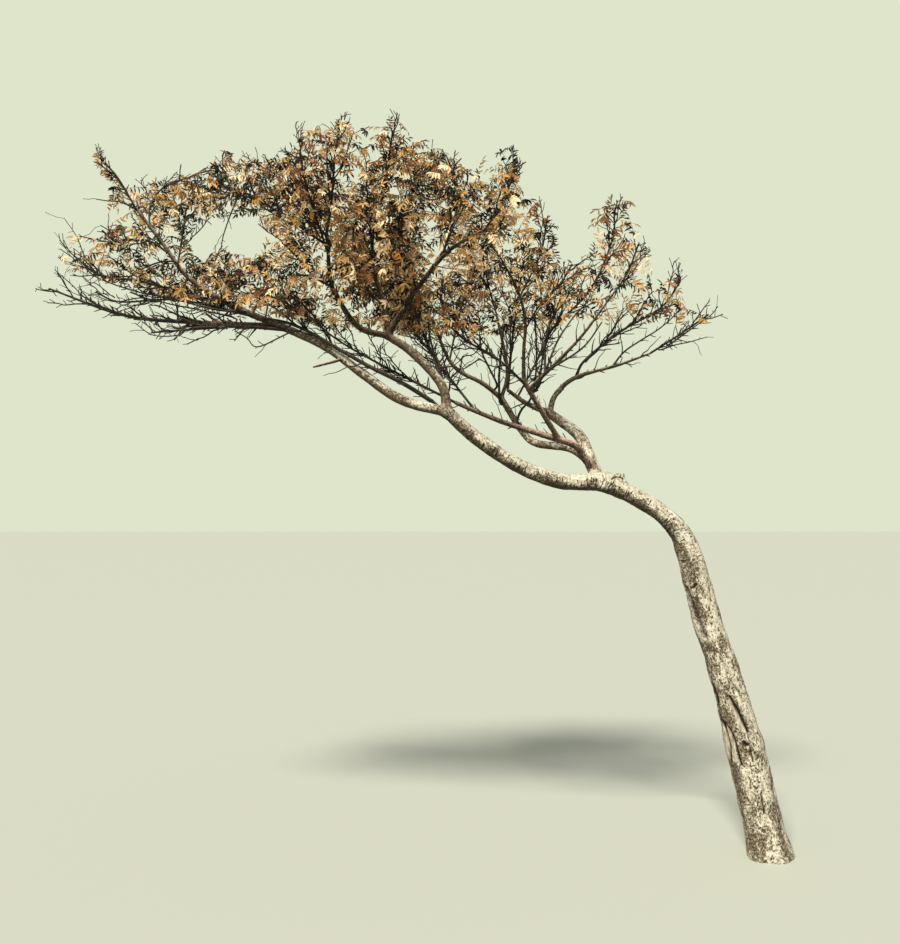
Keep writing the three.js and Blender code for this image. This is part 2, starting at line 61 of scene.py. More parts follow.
# Each limb in mm, as in the solids: its name, its parent and the share of the parent's way where it
# leaves, its widths as (share of its own way, width), how pale with lichen it is at foot and tip, and
# the places that it grows through.
LIMBS = [
    ("trunk", None, 0, [(0, 168), (0.3, 166), (0.42, 138), (0.56, 128),
      (0.7, 118), (0.78, 100), (0.85, 78), (1, 76)], (0.9, 1.0),
     [(15, 0, -BELOW_GROUND), (-60, 0, 250), (-115, 5, 490), (-208, 10, 830), (-264, 10, 990),
      (-302, 10, 1130), (-355, 5, 1320), (-395, 2, 1418), (-461, 0, 1495), (-575, -5, 1572),
      (-735, -10, 1650)]),
    ("left_bough", "trunk", 1, [(0, 76), (1, 54)], (1.0, 0.9),
     [(-930, -30, 1655), (-1110, -70, 1720), (-1285, -110, 1830), (-1425, -140, 1950)]),
    ("low_left_bough", "left_bough", 1, [(0, 46), (1, 34)], (0.9, 0.6),
     [(-1625, -170, 2005), (-1795, -185, 2120), (-1945, -175, 2230), (-2140, -140, 2320)]),
    ("far_left_bough", "low_left_bough", 1, [(0, 30), (1, 13)], (0.5, 0.1),
     [(-2335, -100, 2405), (-2545, -60, 2535), (-2675, -20, 2700), (-2800, 20, 2860)]),
    ("rising_bough", "left_bough", 1, [(0, 42), (1, 34)], (0.6, 0.35),
     [(-1450, -130, 2070), (-1575, -90, 2210), (-1680, -60, 2285)]),
    ("crest_bough_left", "rising_bough", 1, [(0, 28), (1, 13)], (0.35, 0.05),
     [(-1805, -80, 2320), (-1885, -140, 2425), (-1920, -190, 2510), (-1930, -240, 2705)]),
    ("crest_bough_middle", "rising_bough", 1, [(0, 25), (1, 13)], (0.3, 0.0),
     [(-1705, -10, 2440), (-1750, 10, 2585), (-1755, 30, 2740)]),
    ("crest_bough_right", "rising_bough", 1, [(0, 28), (1, 13)], (0.3, 0.0),
     [(-1645, -75, 2350), (-1555, -150, 2475), (-1420, -280, 2615), (-1270, -340, 2695)]),
    ("right_bough", "trunk", 0.985, [(0, 66), (1, 42)], (1.0, 0.7),
     [(-772, 15, 1700), (-800, 40, 1770), (-840, 80, 1860), (-965, 135, 1960)]),
    ("rear_bough", "right_bough", 0.3, [(0, 42), (1, 26)], (0.8, 0.4),
     [(-875, 90, 1800), (-1020, 180, 1825), (-1085, 230, 1885), (-1175, 280, 2035)]),
    ("rust_bough", "right_bough", 0.16, [(0, 34), (1, 18)], (0.5, 0.1),
     [(-827, 0, 1762), (-866, -18, 1812), (-995, 0, 1855), (-1190, 45, 1920), (-1390, 80, 2005)]),
    ("front_bough", "rust_bough", 0.33, [(0, 26), (1, 21)], (0.4, 0.3),
     [(-1015, -60, 1960), (-1095, -100, 2090)]),
    ("front_upper_bough", "front_bough", 1, [(0, 17), (1, 9)], (0.2, 0.0),
     [(-1095, -120, 2220), (-1090, -140, 2340), (-1125, -180, 2470), (-1200, -220, 2600)]),
    ("front_right_bough", "front_bough", 0.85, [(0, 18), (1, 9)], (0.2, 0.0),
     [(-955, -150, 2165), (-850, -180, 2275), (-750, -190, 2410)]),
    ("far_right_bough", "right_bough", 1, [(0, 28), (0.3, 21), (1, 9)], (0.7, 0.0),
     [(-935, 135, 2045), (-845, 110, 2120), (-665, 70, 2170), (-525, 50, 2220)]),
    ("rear_right_bough", "right_bough", 1, [(0, 30), (1, 17)], (0.5, 0.2),
     [(-1065, 280, 2015), (-1140, 390, 2080)]),
    ("rear_left_bough", "rear_bough", 1, [(0, 24), (1, 12)], (0.3, 0.1),
     [(-1260, 305, 2105), (-1400, 350, 2195), (-1495, 390, 2405)]),
    ("rear_middle_bough", "rear_bough", 1, [(0, 20), (1, 12)], (0.3, 0.1),
     [(-1145, 320, 2170), (-1195, 340, 2430)]),
]
# A short dead stub stands on the low left bough and a burr in the fork, and healed knots swell the skin.
STUBS = [
    ("dead_stub", "low_left_bough", 0.62, [(0, 15), (1, 9)], (0.2, 0.0),
     [(-1905, -215, 2160), (-1990, -235, 2136)]),
    ("burr", "trunk", 0.962, [(0, 64), (1, 36)], (1.0, 1.0),
     [(-664, -10, 1688)]),
]
KNOTS = [  # middle, radius
    ((-742, -38, 1625), 17), ((-1215, -118, 1800), 13), ((-60, 70, 420), 26),
]

# How finely a curve is measured, the steps along a limb that the solids and the skin are measured by,
# and the fewest of each.
CURVE_SPOTS = 201
LIMB_STEP = 105
LEAST_RINGS = 3
SKIN_STEP = 20
LEAST_STEPS = 4
# The skin: its cell, the fillets in a fork and round a knot as shares of the width of what leaves there,
# and the flare of the trunk's foot with its lobes towards the roots.
SKIN_CELL = 5.05
FORK_FILLET = 0.32
KNOT_FILLET = 0.8
FLARE = 0.22
FLARE_HEIGHT = 95
ROOT_LOBES = 5
LOBE_DEPTH = 0.08
# How far out a limb is felt, in radii and in mm beyond them, and a knot, how many points are worked out
# at once, and what stands for far away and for nothing.
LIMB_MARGIN = (1.5, 45)
KNOT_MARGIN = 60
BATCH = 6000
FAR = 1e3
TINY = 1e-6


def spots_on(places, times):
    """Places at times from 0 to 1 on the uniform Catmull-Rom curve through the given places."""
    spans = len(places) - 1
    first = np.minimum((times * spans).astype(int), spans - 1)
    part = (times * spans - first)[:, None]
    wide = np.vstack([2 * places[0] - places[1], places, 2 * places[-1] - places[-2]])
    a, b, c, d = (wide[first + k] for k in range(4))
    cubic = (3 * b - a - 3 * c + d) * part**3
    return 0.5 * (2 * b + (c - a) * part + (2 * a - 5 * b + 4 * c - d) * part**2 + cubic)


def spots_along(places, shares):
    """Places at shares of the length of the curve through the given places, and that length."""
    times = np.linspace(0, 1, CURVE_SPOTS)
    steps = np.linalg.norm(np.diff(spots_on(places, times), axis=0), axis=1)
    lengths = np.concatenate([[0], np.cumsum(steps)])
    found = np.interp(np.asarray(shares) * lengths[-1], lengths, times)
    return spots_on(places, found), lengths[-1]


limbs = {}


def grow_limb(name, parent, at, girth, lichen, through, rings=None):
    """A limb with its course: coarse spans as in the solids, and a fine line for the skin."""
    places = np.array(through, float)
    if parent:
        places = np.vstack([spots_along(limbs[parent]["places"], [at])[0], places])
    length = spots_along(places, [1])[1]
    rings = rings or max(LEAST_RINGS, round(length / LIMB_STEP))
    shares = np.linspace(0, 1, max(LEAST_STEPS, round(length / SKIN_STEP)) + 1)
    widths = np.array(girth, float).T
    return dict(
        name=name, lichen=lichen, places=places, length=length, shares=shares,
        spans=spots_along(places, np.linspace(0, 1, rings + 1))[0],
        span_radii=np.interp(np.arange(rings) / rings, *widths) / 2,
        line=spots_along(places, shares)[0], radii=np.interp(shares, *widths) / 2,
    )


for row in LIMBS:
    limbs[row[0]] = grow_limb(*row)
skin_limbs = [*limbs.values(), *(grow_limb(*row) for row in STUBS)]


def off_spans(points, starts, ways):
    """For each point and each straight span: the share of the span that is nearest to the point, and
    the way from there to the point."""
    rel = points[:, None] - starts
    part = np.clip((rel * ways).sum(2) / (ways**2).sum(1), 0, 1)
    return part, rel - part[..., None] * ways


def limb_skin(limb, points):
    """Height of points over one limb's skin, the way out, and each point's place on the limb."""
    starts, ways = limb["line"][:-1], np.diff(limb["line"], axis=0)
    part, out = off_spans(points, starts, ways)
    near = (out**2).sum(2).argmin(1)
    row = np.arange(len(points))
    part, out, way = part[row, near], out[row, near], ways[near]
    distance = np.maximum(np.linalg.norm(out, axis=1), TINY)
    tangent = way / np.linalg.norm(way, axis=1)[:, None]
    front = np.array([0, -1, 0]) - tangent * -tangent[:, 1:2]
    front /= np.linalg.norm(front, axis=1)[:, None]
    across = np.cross(tangent, front)
    share = limb["shares"][near] + part * np.diff(limb["shares"])[near]
    radius = limb["radii"][near] + part * np.diff(limb["radii"])[near]
    place = np.stack([(out * across).sum(1), (out * front).sum(1), share * limb["length"]], 1)
    if limb["name"] == "trunk":
        level = (starts[near] + part[:, None] * way)[:, 2]
        angle = np.arctan2(place[:, 1], place[:, 0])
        fade = np.exp(-np.maximum(level, 0) / FLARE_HEIGHT)
        radius = radius * (1 + fade * (FLARE + LOBE_DEPTH * np.cos(ROOT_LOBES * angle)))
    pale = np.interp(share, (0, 1), limb["lichen"])
    return distance - radius, out / distance[:, None], np.column_stack([place, radius, pale])


def whole_skin(points):
    """The same for all limbs and knots together, rounded off where they meet."""
    height = np.full(len(points), FAR)
    out = np.zeros((len(points), 3))
    facts = np.zeros((len(points), 6))
    least = np.full(len(points), FAR)

    def join(chosen, new_height, new_out, fillet):
        """Rounds a new height and way out into those of the chosen points."""
        old = height[chosen]
        share = np.clip(0.5 + 0.5 * (old - new_height) / fillet, 0, 1)
        height[chosen] = old + (new_height - old) * share - fillet * share * (1 - share)
        out[chosen] += (new_out - out[chosen]) * share[:, None]

    for number, limb in enumerate(skin_limbs):
        margin = limb["radii"].max() * LIMB_MARGIN[0] + LIMB_MARGIN[1]
        low, high = limb["line"].min(0) - margin, limb["line"].max(0) + margin
        chosen = np.flatnonzero(((points > low) & (points < high)).all(1))
        for part in np.array_split(chosen, len(chosen) // BATCH + 1):
            new_height, new_out, place = limb_skin(limb, points[part])
            join(part, new_height, new_out, FORK_FILLET * 2 * limb["radii"][0])
            nearer = new_height < least[part]
            least[part[nearer]] = new_height[nearer]
            facts[part[nearer], :5] = place[nearer]
            facts[part[nearer], 5] = number
    for middle, radius in KNOTS:
        rel = points - middle
        distance = np.linalg.norm(rel, axis=1)
        chosen = np.flatnonzero(distance < radius + KNOT_MARGIN)
        way = rel[chosen] / distance[chosen, None]
        join(chosen, distance[chosen] - radius, way, KNOT_FILLET * radius)
    out /= np.maximum(np.linalg.norm(out, axis=1), TINY)[:, None]
    return height, out, facts


def linear(hex_colour):
    """An sRGB hex colour as linear red, green, blue and alpha."""
    parts = [int(hex_colour[k:k + 2], 16) / 255 for k in (1, 3, 5)]
    return [c / 12.92 if c <= 0.04045 else ((c + 0.055) / 1.055) ** 2.4 for c in parts] + [1]


def node(tree, kind, inputs=(), stops=(), **settings):
    """Adds a node to a tree, with its settings, with its inputs set or linked, and with the stops of
    its ramp as (place, hex colour or grey)."""
    made = tree.nodes.new(kind)
    for name, value in settings.items():
        setattr(made, name, value)
    for _ in stops[2:]:
        made.color_ramp.elements.new(1)
    for number, (place, shade) in enumerate(stops):
        band = made.color_ramp.elements[number]
        band.position = place
        band.color = linear(shade) if isinstance(shade, str) else (shade, shade, shade, 1)
    for key, value in dict(inputs).items():
        if isinstance(value, bpy.types.NodeSocket):
            tree.links.new(value, made.inputs[key])
        elif isinstance(value, str) and value.startswith("#"):
            made.inputs[key].default_value = linear(value)
        else:
            made.inputs[key].default_value = value
    return made


def new_tree(name, **inputs):
    """A Geometry Nodes tree with named inputs, its input node and its output node."""
    tree = bpy.data.node_groups.new(name, "GeometryNodeTree")
    tree.interface.new_socket("Geometry", in_out="INPUT", socket_type="NodeSocketGeometry")
    for label, kind in inputs.items():
        tree.interface.new_socket(label.replace("_", " "), in_out="INPUT", socket_type=kind)
    tree.interface.new_socket("Geometry", in_out="OUTPUT", socket_type="NodeSocketGeometry")
    return tree, tree.nodes.new("NodeGroupInput").outputs, tree.nodes.new("NodeGroupOutput")


def new_object(name, data):
    """An object with this mesh, lamp or camera, in the scene."""
    made = bpy.data.objects.new(name, data)
    bpy.context.scene.collection.objects.link(made)
    return made


def note(mesh, label, kind, values):
    """Notes a number or a vector on each point of a mesh, as a new attribute."""
    held = mesh.attributes.new(label, kind, "POINT").data
    held.foreach_set("vector" if kind == "FLOAT_VECTOR" else "value", np.ravel(values))


def grown_mesh(source, tree, inputs, cell=None):
    """The plain mesh that a tree makes of a source mesh, rebuilt in cells of one size if asked."""
    holder = new_object("holder", source)
    modifier = holder.modifiers.new("grown", "NODES")
    modifier.node_group = tree
    sockets = {item.name: item.identifier for item in tree.interface.items_tree}
    for label, value in inputs.items():
        modifier[sockets[label]] = value
    if cell:
        rebuilt = holder.modifiers.new("rebuilt", "REMESH")
        rebuilt.mode = "VOXEL"
        rebuilt.voxel_size = cell
    graph = bpy.context.evaluated_depsgraph_get()
    mesh = bpy.data.meshes.new_from_object(holder.evaluated_get(graph), depsgraph=graph)
    bpy.data.objects.remove(holder)
    bpy.data.meshes.remove(source)
    return mesh


def lines_mesh(lines):
    """A mesh of separate lines, from (points in mm, radii in mm), with the radii as an attribute."""
    points = np.concatenate([spots for spots, _ in lines]) * MM
    radii = np.concatenate([radii for _, radii in lines]) * MM
    edges, first = [], 0
    for spots, _ in lines:
        edges += [(first + k, first + k + 1) for k in range(len(spots) - 1)]
        first += len(spots)
    mesh = bpy.data.meshes.new("lines")
    mesh.from_pydata(points.tolist(), edges, [])
    note(mesh, "thick", "FLOAT", radii)
    return mesh


def end_tree(tree, geometry, given, made):
    """Ends a tree: its geometry is made real and gets the material that the tree is given."""
    real = node(tree, "GeometryNodeRealizeInstances", {"Geometry": geometry})
    dressed = node(tree, "GeometryNodeSetMaterial", {
        "Geometry": real.outputs[0], "Material": given["Material"],
    })
    tree.links.new(dressed.outputs[0], made.inputs[0])
    return tree


def tube_tree():
    """Round tubes of a number of sides along the lines, each as thick as its thick attribute says."""
    tree, given, made = new_tree(
        "tubes_along_lines", Sides="NodeSocketInt", Material="NodeSocketMaterial"
    )
    curve = node(tree, "GeometryNodeMeshToCurve", {"Mesh": given["Geometry"]})
    ring = node(tree, "GeometryNodeCurvePrimitiveCircle", {"Resolution": given["Sides"], "Radius": 1})
    thick = node(tree, "GeometryNodeInputNamedAttribute", {"Name": "thick"}, data_type="FLOAT")
    tube = node(tree, "GeometryNodeCurveToMesh", {
        "Curve": curve.outputs[0], "Profile Curve": ring.outputs[0],
        "Scale": thick.outputs["Attribute"], "Fill Caps": True,
    })
    smooth = node(tree, "GeometryNodeSetShadeSmooth", {"Geometry": tube.outputs[0]})
    return end_tree(tree, smooth.outputs[0], given, made)


tubes = tube_tree()


def new_material(name, roughness, specular):
    """A material with one Principled shader: its tree and the shader."""
    material = bpy.data.materials.new(name)
    material.use_nodes = True
    shader = material.node_tree.nodes["Principled BSDF"]
    shader.inputs["Roughness"].default_value = roughness
    shader.inputs["Specular IOR Level"].default_value = specular
    return material, material.node_tree, shader


# Rowan bark: smooth and thin, grown over by pale crustose lichen in rounded blotches, with brown bark
# between, small dark lenticels across the limb and clefts along it. Lichen is dull and powdery, and
# thickest on the sky side. Painted shade darkens the undersides, and the thin boughs' young bark is
# painted near black below as shade and pale on top as lit.

# Its patterns: the size of their spots across a limb and along it in mm, how much fine detail they have
# and how rough it is. The lichen and specks stand up by so much.
PATTERNS = {
    "blotches": (45, 99, 3, 0.55), "mottle": (12, 18, 3, 0.65), "specks": (7.4, 10.36, 3, 0.7),
    "lenticels": (24, 5.5, 1.5, 0.55), "streaks": (4, 60, 3, 0.55),
}
BARK_BUMPS = 5 * MM

bark, tree, shader = new_material("lichened_rowan_bark", roughness=0.88, specular=0.2)
# The numbers and colours that make up the bark, by name, and first those that the skin's points hold.
held = {
    label: node(tree, "ShaderNodeAttribute", attribute_name=label).outputs["Fac"]
    for label in ("pale", "cleft", "bare_wood", "wrinkled", "rusty", "skyward")
}
grain = node(tree, "ShaderNodeAttribute", attribute_name="grain").outputs["Vector"]
for label, (wide, long, detail, roughness) in PATTERNS.items():
    drawn_out = node(tree, "ShaderNodeMapping", {
        "Vector": grain, "Scale": (1 / (wide * MM), 1 / (wide * MM), 1 / (long * MM)),
    })
    held[label] = node(tree, "ShaderNodeTexNoise", {
        "Vector": drawn_out.outputs[0], "Scale": 1.0, "Detail": detail, "Roughness": roughness,
    }).outputs["Fac"]


def sum_of(tree, *terms):
    """Numbers and (socket, factor) pairs added up, with a node for each."""
    total = 0.0
    for term in terms:
        value, factor = term if isinstance(term, tuple) else (term, 1.0)
        total = node(tree, "ShaderNodeMath", {0: value, 1: factor, 2: total},
                     operation="MULTIPLY_ADD").outputs[0]
    return total


cover = sum_of(
    tree, (held["blotches"], 1.0), (held["mottle"], 0.5), (held["specks"], 0.6), (held["pale"], 0.52),
    (held["skyward"], 0.16), -1.12,
)
# How far each point faces the sky, with mottle or blotches. The ramps below paint the bark pale above as
# lit and dark below as shaded.
shaded_side = sum_of(tree, (held["skyward"], 0.5), (held["mottle"], 0.7), 0.12)
light_side = sum_of(tree, (held["skyward"], 0.5), (held["blotches"], 0.5), 0.25)
speckled = sum_of(
    tree, (held["specks"], 1.0), (held["blotches"], 0.3), (held["wrinkled"], 0.04),
    (held["skyward"], 0.08), -0.15,
)
dashed = sum_of(tree, (held["lenticels"], 1.0), (held["skyward"], 0.1))
# What each of them turns to as it rises through the stops: a share from 0 to 1, or a colour.
RAMPS = {
    "lichen": (cover, (0.3, 0.0), (0.48, 1.0)),
    "old": (held["pale"], (0.3, 0.0), (0.8, 1.0)),
    "dark_specks": (speckled, (0.435, 1.0), (0.475, 0.0)),
    "dashes": (dashed, (0.36, 1.0), (0.42, 0.0)),
    # The clefts are painted darker the deeper they cut: painted shade in the groove, over the darker bark
    # there.
    "clefts": (held["cleft"], (0.05, 0.0), (0.75, 1.0)),
    # Painted light and shade: young and rusty bark are near black on the underside and pale towards the
    # sky.
    "young_bark": (shaded_side, (0.16, "#13120b"), (0.41, "#2c261b"), (0.62, "#72614e"),
                   (0.88, "#bba58e")),
    "rust_bark": (shaded_side, (0.1, "#1f1912"), (0.32, "#4e3d32"), (0.54, "#8c7263"),
                  (0.8, "#c4a997")),
    "brown_bark": (held["specks"], (0.34, "#3d3426"), (0.5, "#85755f"), (0.64, "#b9ab92")),
    "pale_lichen": (held["mottle"], (0.3, "#a59a83"), (0.46, "#cdc5ae"), (0.62, "#eee9d5")),
    # Painted shade, multiplied over all the bark: darker towards the underside, and in blotches.
    "shade": (light_side, (0.12, "#5c5344"), (0.5, "#ffffff")),
    "dry_wood": (held["streaks"], (0.36, "#7d725e"), (0.5, "#bfb59c"), (0.66, "#e6dfcb")),
}
for label, (value, *stops) in RAMPS.items():
    held[label] = node(tree, "ShaderNodeValToRGB", {"Fac": value}, stops).outputs["Color"]
held["dashes"] = node(
    tree, "ShaderNodeMath", {0: held["dashes"], 1: held["wrinkled"]}, operation="MULTIPLY"
).outputs[0]
# The layers of colour over the young bark, each with the share of it that shows.
colour = held["young_bark"]
for share, over, kind in (
    (held["old"], held["brown_bark"], "MIX"),
    (held["rusty"], held["rust_bark"], "MIX"),
    (held["lichen"], held["pale_lichen"], "MIX"),
    # painted shade on the undersides
    (1.0, held["shade"], "MULTIPLY"),
    (held["dark_specks"], "#4d4231", "MIX"),
    (held["dashes"], "#2b2519", "MIX"),
    (held["bare_wood"], held["dry_wood"], "MIX"),
    # painted shade in the clefts, over their darker bark
    (held["clefts"], "#251e14", "MIX"),
):
    layer = {0: share, 6: colour, 7: over}
    colour = node(tree, "ShaderNodeMix", layer, data_type="RGBA", blend_type=kind).outputs[2]
height = sum_of(
    tree, (held["mottle"], 0.5), (held["specks"], 0.4), (held["lichen"], 0.2), (held["dashes"], -0.6),
    (held["cleft"], -1.0),
)
bumps = node(tree, "ShaderNodeBump", {"Height": height, "Distance": BARK_BUMPS, "Strength": 0.9})
dull = node(tree, "ShaderNodeValToRGB", {"Fac": held["lichen"]}, ((0.0, 0.72), (1.0, 0.95)))
tree.links.new(colour, shader.inputs["Base Color"])
tree.links.new(dull.outputs["Color"], shader.inputs["Roughness"])
tree.links.new(bumps.outputs["Normal"], shader.inputs["Normal"])

# Clefts in the old wound on the trunk's front: width, depth, and the way down it as (x, z) in mm. Bare
# wood shows between them, and callus rolls over their edges.
CLEFTS = [
    (6.5, 13, [(-195, 716), (-184, 698), (-157, 658), (-140, 625), (-124, 582), (-116, 564)]),
    (4.5, 10, [(-262, 766), (-247, 725), (-240, 698), (-237, 648), (-223, 612), (-190, 565),
               (-170, 515), (-157, 466), (-146, 420)]),
    (3.6, 7, [(-220, 605), (-203, 555), (-190, 499), (-180, 430)]),
    (3.6, 7, [(-237, 632), (-220, 565), (-207, 499), (-196, 440)]),
    (8.0, 11, [(-134, 518), (-120, 508)]),
    (4.0, 7, [(-112, 500), (-104, 466), (-97, 438)]),
    (3.0, 4, [(-180, 684), (-152, 634), (-134, 590)]),
    (3.6, 7, [(-62, 306), (-58, 262), (-52, 212)]),
    (3.0, 5, [(-92, 332), (-84, 320), (-74, 334)]),
    (6.0, 9, [(-350, 1188), (-340, 1204)]),
    (9.0, 7, [(-376, 1186), (-350, 1120), (-322, 1044), (-298, 975)]),
    (3.2, 5, [(-706, 1662), (-690, 1673), (-668, 1671), (-652, 1662)]),
    (3.4, 5, [(-690, 1682), (-684, 1688)]),
]
BARE_STRIPS = [
    (14, [(-186, 692), (-160, 634), (-134, 574)]),
    (7, [(-212, 590), (-197, 520), (-187, 440)]),
    (7, [(-196, 576), (-179, 510), (-166, 440)]),
]
# A cleft's edges stand up by a share of its depth, so many widths from its middle. Bare wood lies so
# deep below the bark.
CLEFT_EDGE = 0.2
EDGE_PLACE = 2.2
BARE_DEPTH = 3
# The relief: its height in mm on a stout limb, the size of its spots in mm, in space or across, out and
# along the limb, and a number that keeps its noise apart. No relief stands higher than the last.
SWELLINGS = (2.6, 75, 3.1)
RIBS = (1.5, (26, 26, 60), 8.4)
CRACKS = (0.8, (8, 8, 22), 5.7)
GRIT = (0.35, 7, 1.9)
WRINKLES = (1.1, (30, 30, 9), 6.6)
WOOD_GRAIN = (1.6, (5, 5, 120), 2.2)
HIGHEST = 3.5
# A stout limb's radius, and the least and greatest share of the relief on thinner and stouter ones.
STOUT = 60
RELIEF_SHARES = (0.12, 1.3)
# How wrinkled each bough is, how far along the trunk its wrinkles begin and over what length they come
# in, the boughs of rusty bark, a shift along each limb that keeps its pattern its own, and how much
# stronger than Blender's the noise is.
WRINKLED = dict(left_bough=1, low_left_bough=0.5, right_bough=0.6, rear_bough=0.6)
WRINKLED_FROM = 1330
WRINKLED_OVER = 150
RUSTY = ("rust_bough", "front_bough")
PATTERN_SHIFT = 777
NOISE_GAIN = 1.7
# The tubes that the skin is made from: their sides, the level that the trunk's begins at below the
# ground and how much wider it is, and how often and how far at a time their points move to the skin.
TUBE_SIDES = 24
TUBE_FOOT = -45
TUBE_EASE = 1.12
MOVES = 4
LONGEST_MOVE = 8


def from_line(points, line):
    """Distance in the picture's plane from points to a broken line of (x, z) places."""
    line = np.array(line, float)
    away = off_spans(points[:, [0, 2]], line[:-1], np.diff(line, axis=0))[1]
    return np.linalg.norm(away, axis=2).min(1)


def soft(points, size, seed):
    """Soft noise from about -1 to 1 at each point, with spots of a size in mm along each axis."""
    return NOISE_GAIN * np.array([noise.noise(spot) for spot in (points / size + seed).tolist()])


def bark_skin():
    """The joined skin with its relief, in metres, and its attributes for the bark."""
    tubes_of = [(limb["line"], limb["radii"]) for limb in skin_limbs]
    line, radii = tubes_of[0]
    above = line[:, 2] > TUBE_FOOT
    tubes_of[0] = (line[above], radii[above] * TUBE_EASE)
    mesh = grown_mesh(lines_mesh(tubes_of), tubes, {"Sides": TUBE_SIDES, "Material": bark}, SKIN_CELL * MM)
    points = np.empty(len(mesh.vertices) * 3)
    mesh.vertices.foreach_get("co", points)
    points = points.reshape(-1, 3) / MM
    for _ in range(MOVES):
        height, out = whole_skin(points)[:2]
        points -= out * np.clip(height, -LONGEST_MOVE, LONGEST_MOVE)[:, None]
    height, out, facts = whole_skin(points)
    across, front, along, radius, pale, number = facts.T
    order = [limb["name"] for limb in skin_limbs]
    grain = np.stack([across, front, along + number * PATTERN_SHIFT], 1)
    size = np.clip(radius / STOUT, *RELIEF_SHARES)
    trunk = number == 0
    wrinkled = np.array([WRINKLED.get(name, 0.0) for name in order])[number.astype(int)]
    wrinkled = np.where(trunk, np.clip((along - WRINKLED_FROM) / WRINKLED_OVER, 0, 1), wrinkled)

    def rise(kind, places, share):
        """One kind of relief at each place, at a share of its height."""
        height, spot, seed = kind
        return height * share * soft(places, spot, seed)

    relief = rise(SWELLINGS, points, size) + rise(RIBS, grain, size)
    relief += rise(CRACKS, grain, np.sqrt(size)) + rise(GRIT, points, 1)
    depth, spot, seed = WRINKLES
    relief -= depth * size * wrinkled * np.maximum(soft(grain, spot, seed), 0) ** 0.7
    cleft = np.zeros(len(points))
    face = (trunk | (number == order.index("burr"))) & (front > 0)
    for width, depth, line in CLEFTS:
        distance = from_line(points[face], line)
        shape = np.exp(-(distance / width) ** 2)
        edge = np.exp(-((distance - EDGE_PLACE * width) / width) ** 2)
        relief[face] += CLEFT_EDGE * depth * edge - depth * shape
        cleft[face] = np.maximum(cleft[face], shape**1.5 * min(1, depth / width) ** 2)
    bare_wood = np.zeros(len(points))
    for width, line in BARE_STRIPS:
        shape = np.exp(-(from_line(points[face], line) / width) ** 4)
        bare_wood[face] = np.maximum(bare_wood[face], shape)
        relief[face] += shape * (rise(WOOD_GRAIN, grain[face], 1) - BARE_DEPTH)
    points += out * np.minimum(relief, HIGHEST)[:, None]
    mesh.vertices.foreach_set("co", (points * MM).ravel())
    rusty = np.isin(number, [order.index(name) for name in RUSTY]) * 1.0
    skyward = np.clip(out[:, 2], -1, 1)
    values = dict(pale=pale, cleft=cleft, bare_wood=bare_wood, wrinkled=wrinkled, rusty=rusty,
                  skyward=skyward)
    for label, value in values.items():
        note(mesh, label, "FLOAT", value)
    note(mesh, "grain", "FLOAT_VECTOR", grain * MM)
    return mesh


def cut_flat(mesh):
    """Cuts a closed mesh flat at the ground and closes the cut."""
    body = bmesh.new()
    body.from_mesh(mesh)
    everything = body.verts[:] + body.edges[:] + body.faces[:]
    cut = bmesh.ops.bisect_plane(
        body, geom=everything, plane_co=(0, 0, 0), plane_no=(0, 0, -1), clear_outer=True
    )
    rim = [item for item in cut["geom_cut"] if isinstance(item, bmesh.types.BMEdge)]
    bmesh.ops.contextual_create(body, geom=rim)
    body.to_mesh(mesh)
    body.free()


def stand_for(name, mesh, nodes):
    """A piece of the plant, in the place of these solids."""
    piece = new_object(name, mesh)
    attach(piece, "root")
    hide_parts(*nodes)
    return piece


bark_mesh = bark_skin()
cut_flat(bark_mesh)
for face in bark_mesh.polygons:
    face.use_smooth = True
bark_mesh.materials.clear()
bark_mesh.materials.append(bark)
stand_for("trunk_and_boughs", bark_mesh, list(limbs))

# The shoots and twigs of the crown: this year's and last year's wood, dark grey-brown and smooth. Each
# mass of foliage is one shoot from its place on a bough. Twigs leave it by a seeded rule, the one that
# the solids grew by, and finer twigs leave those, all within the space nearest to their own shoot.

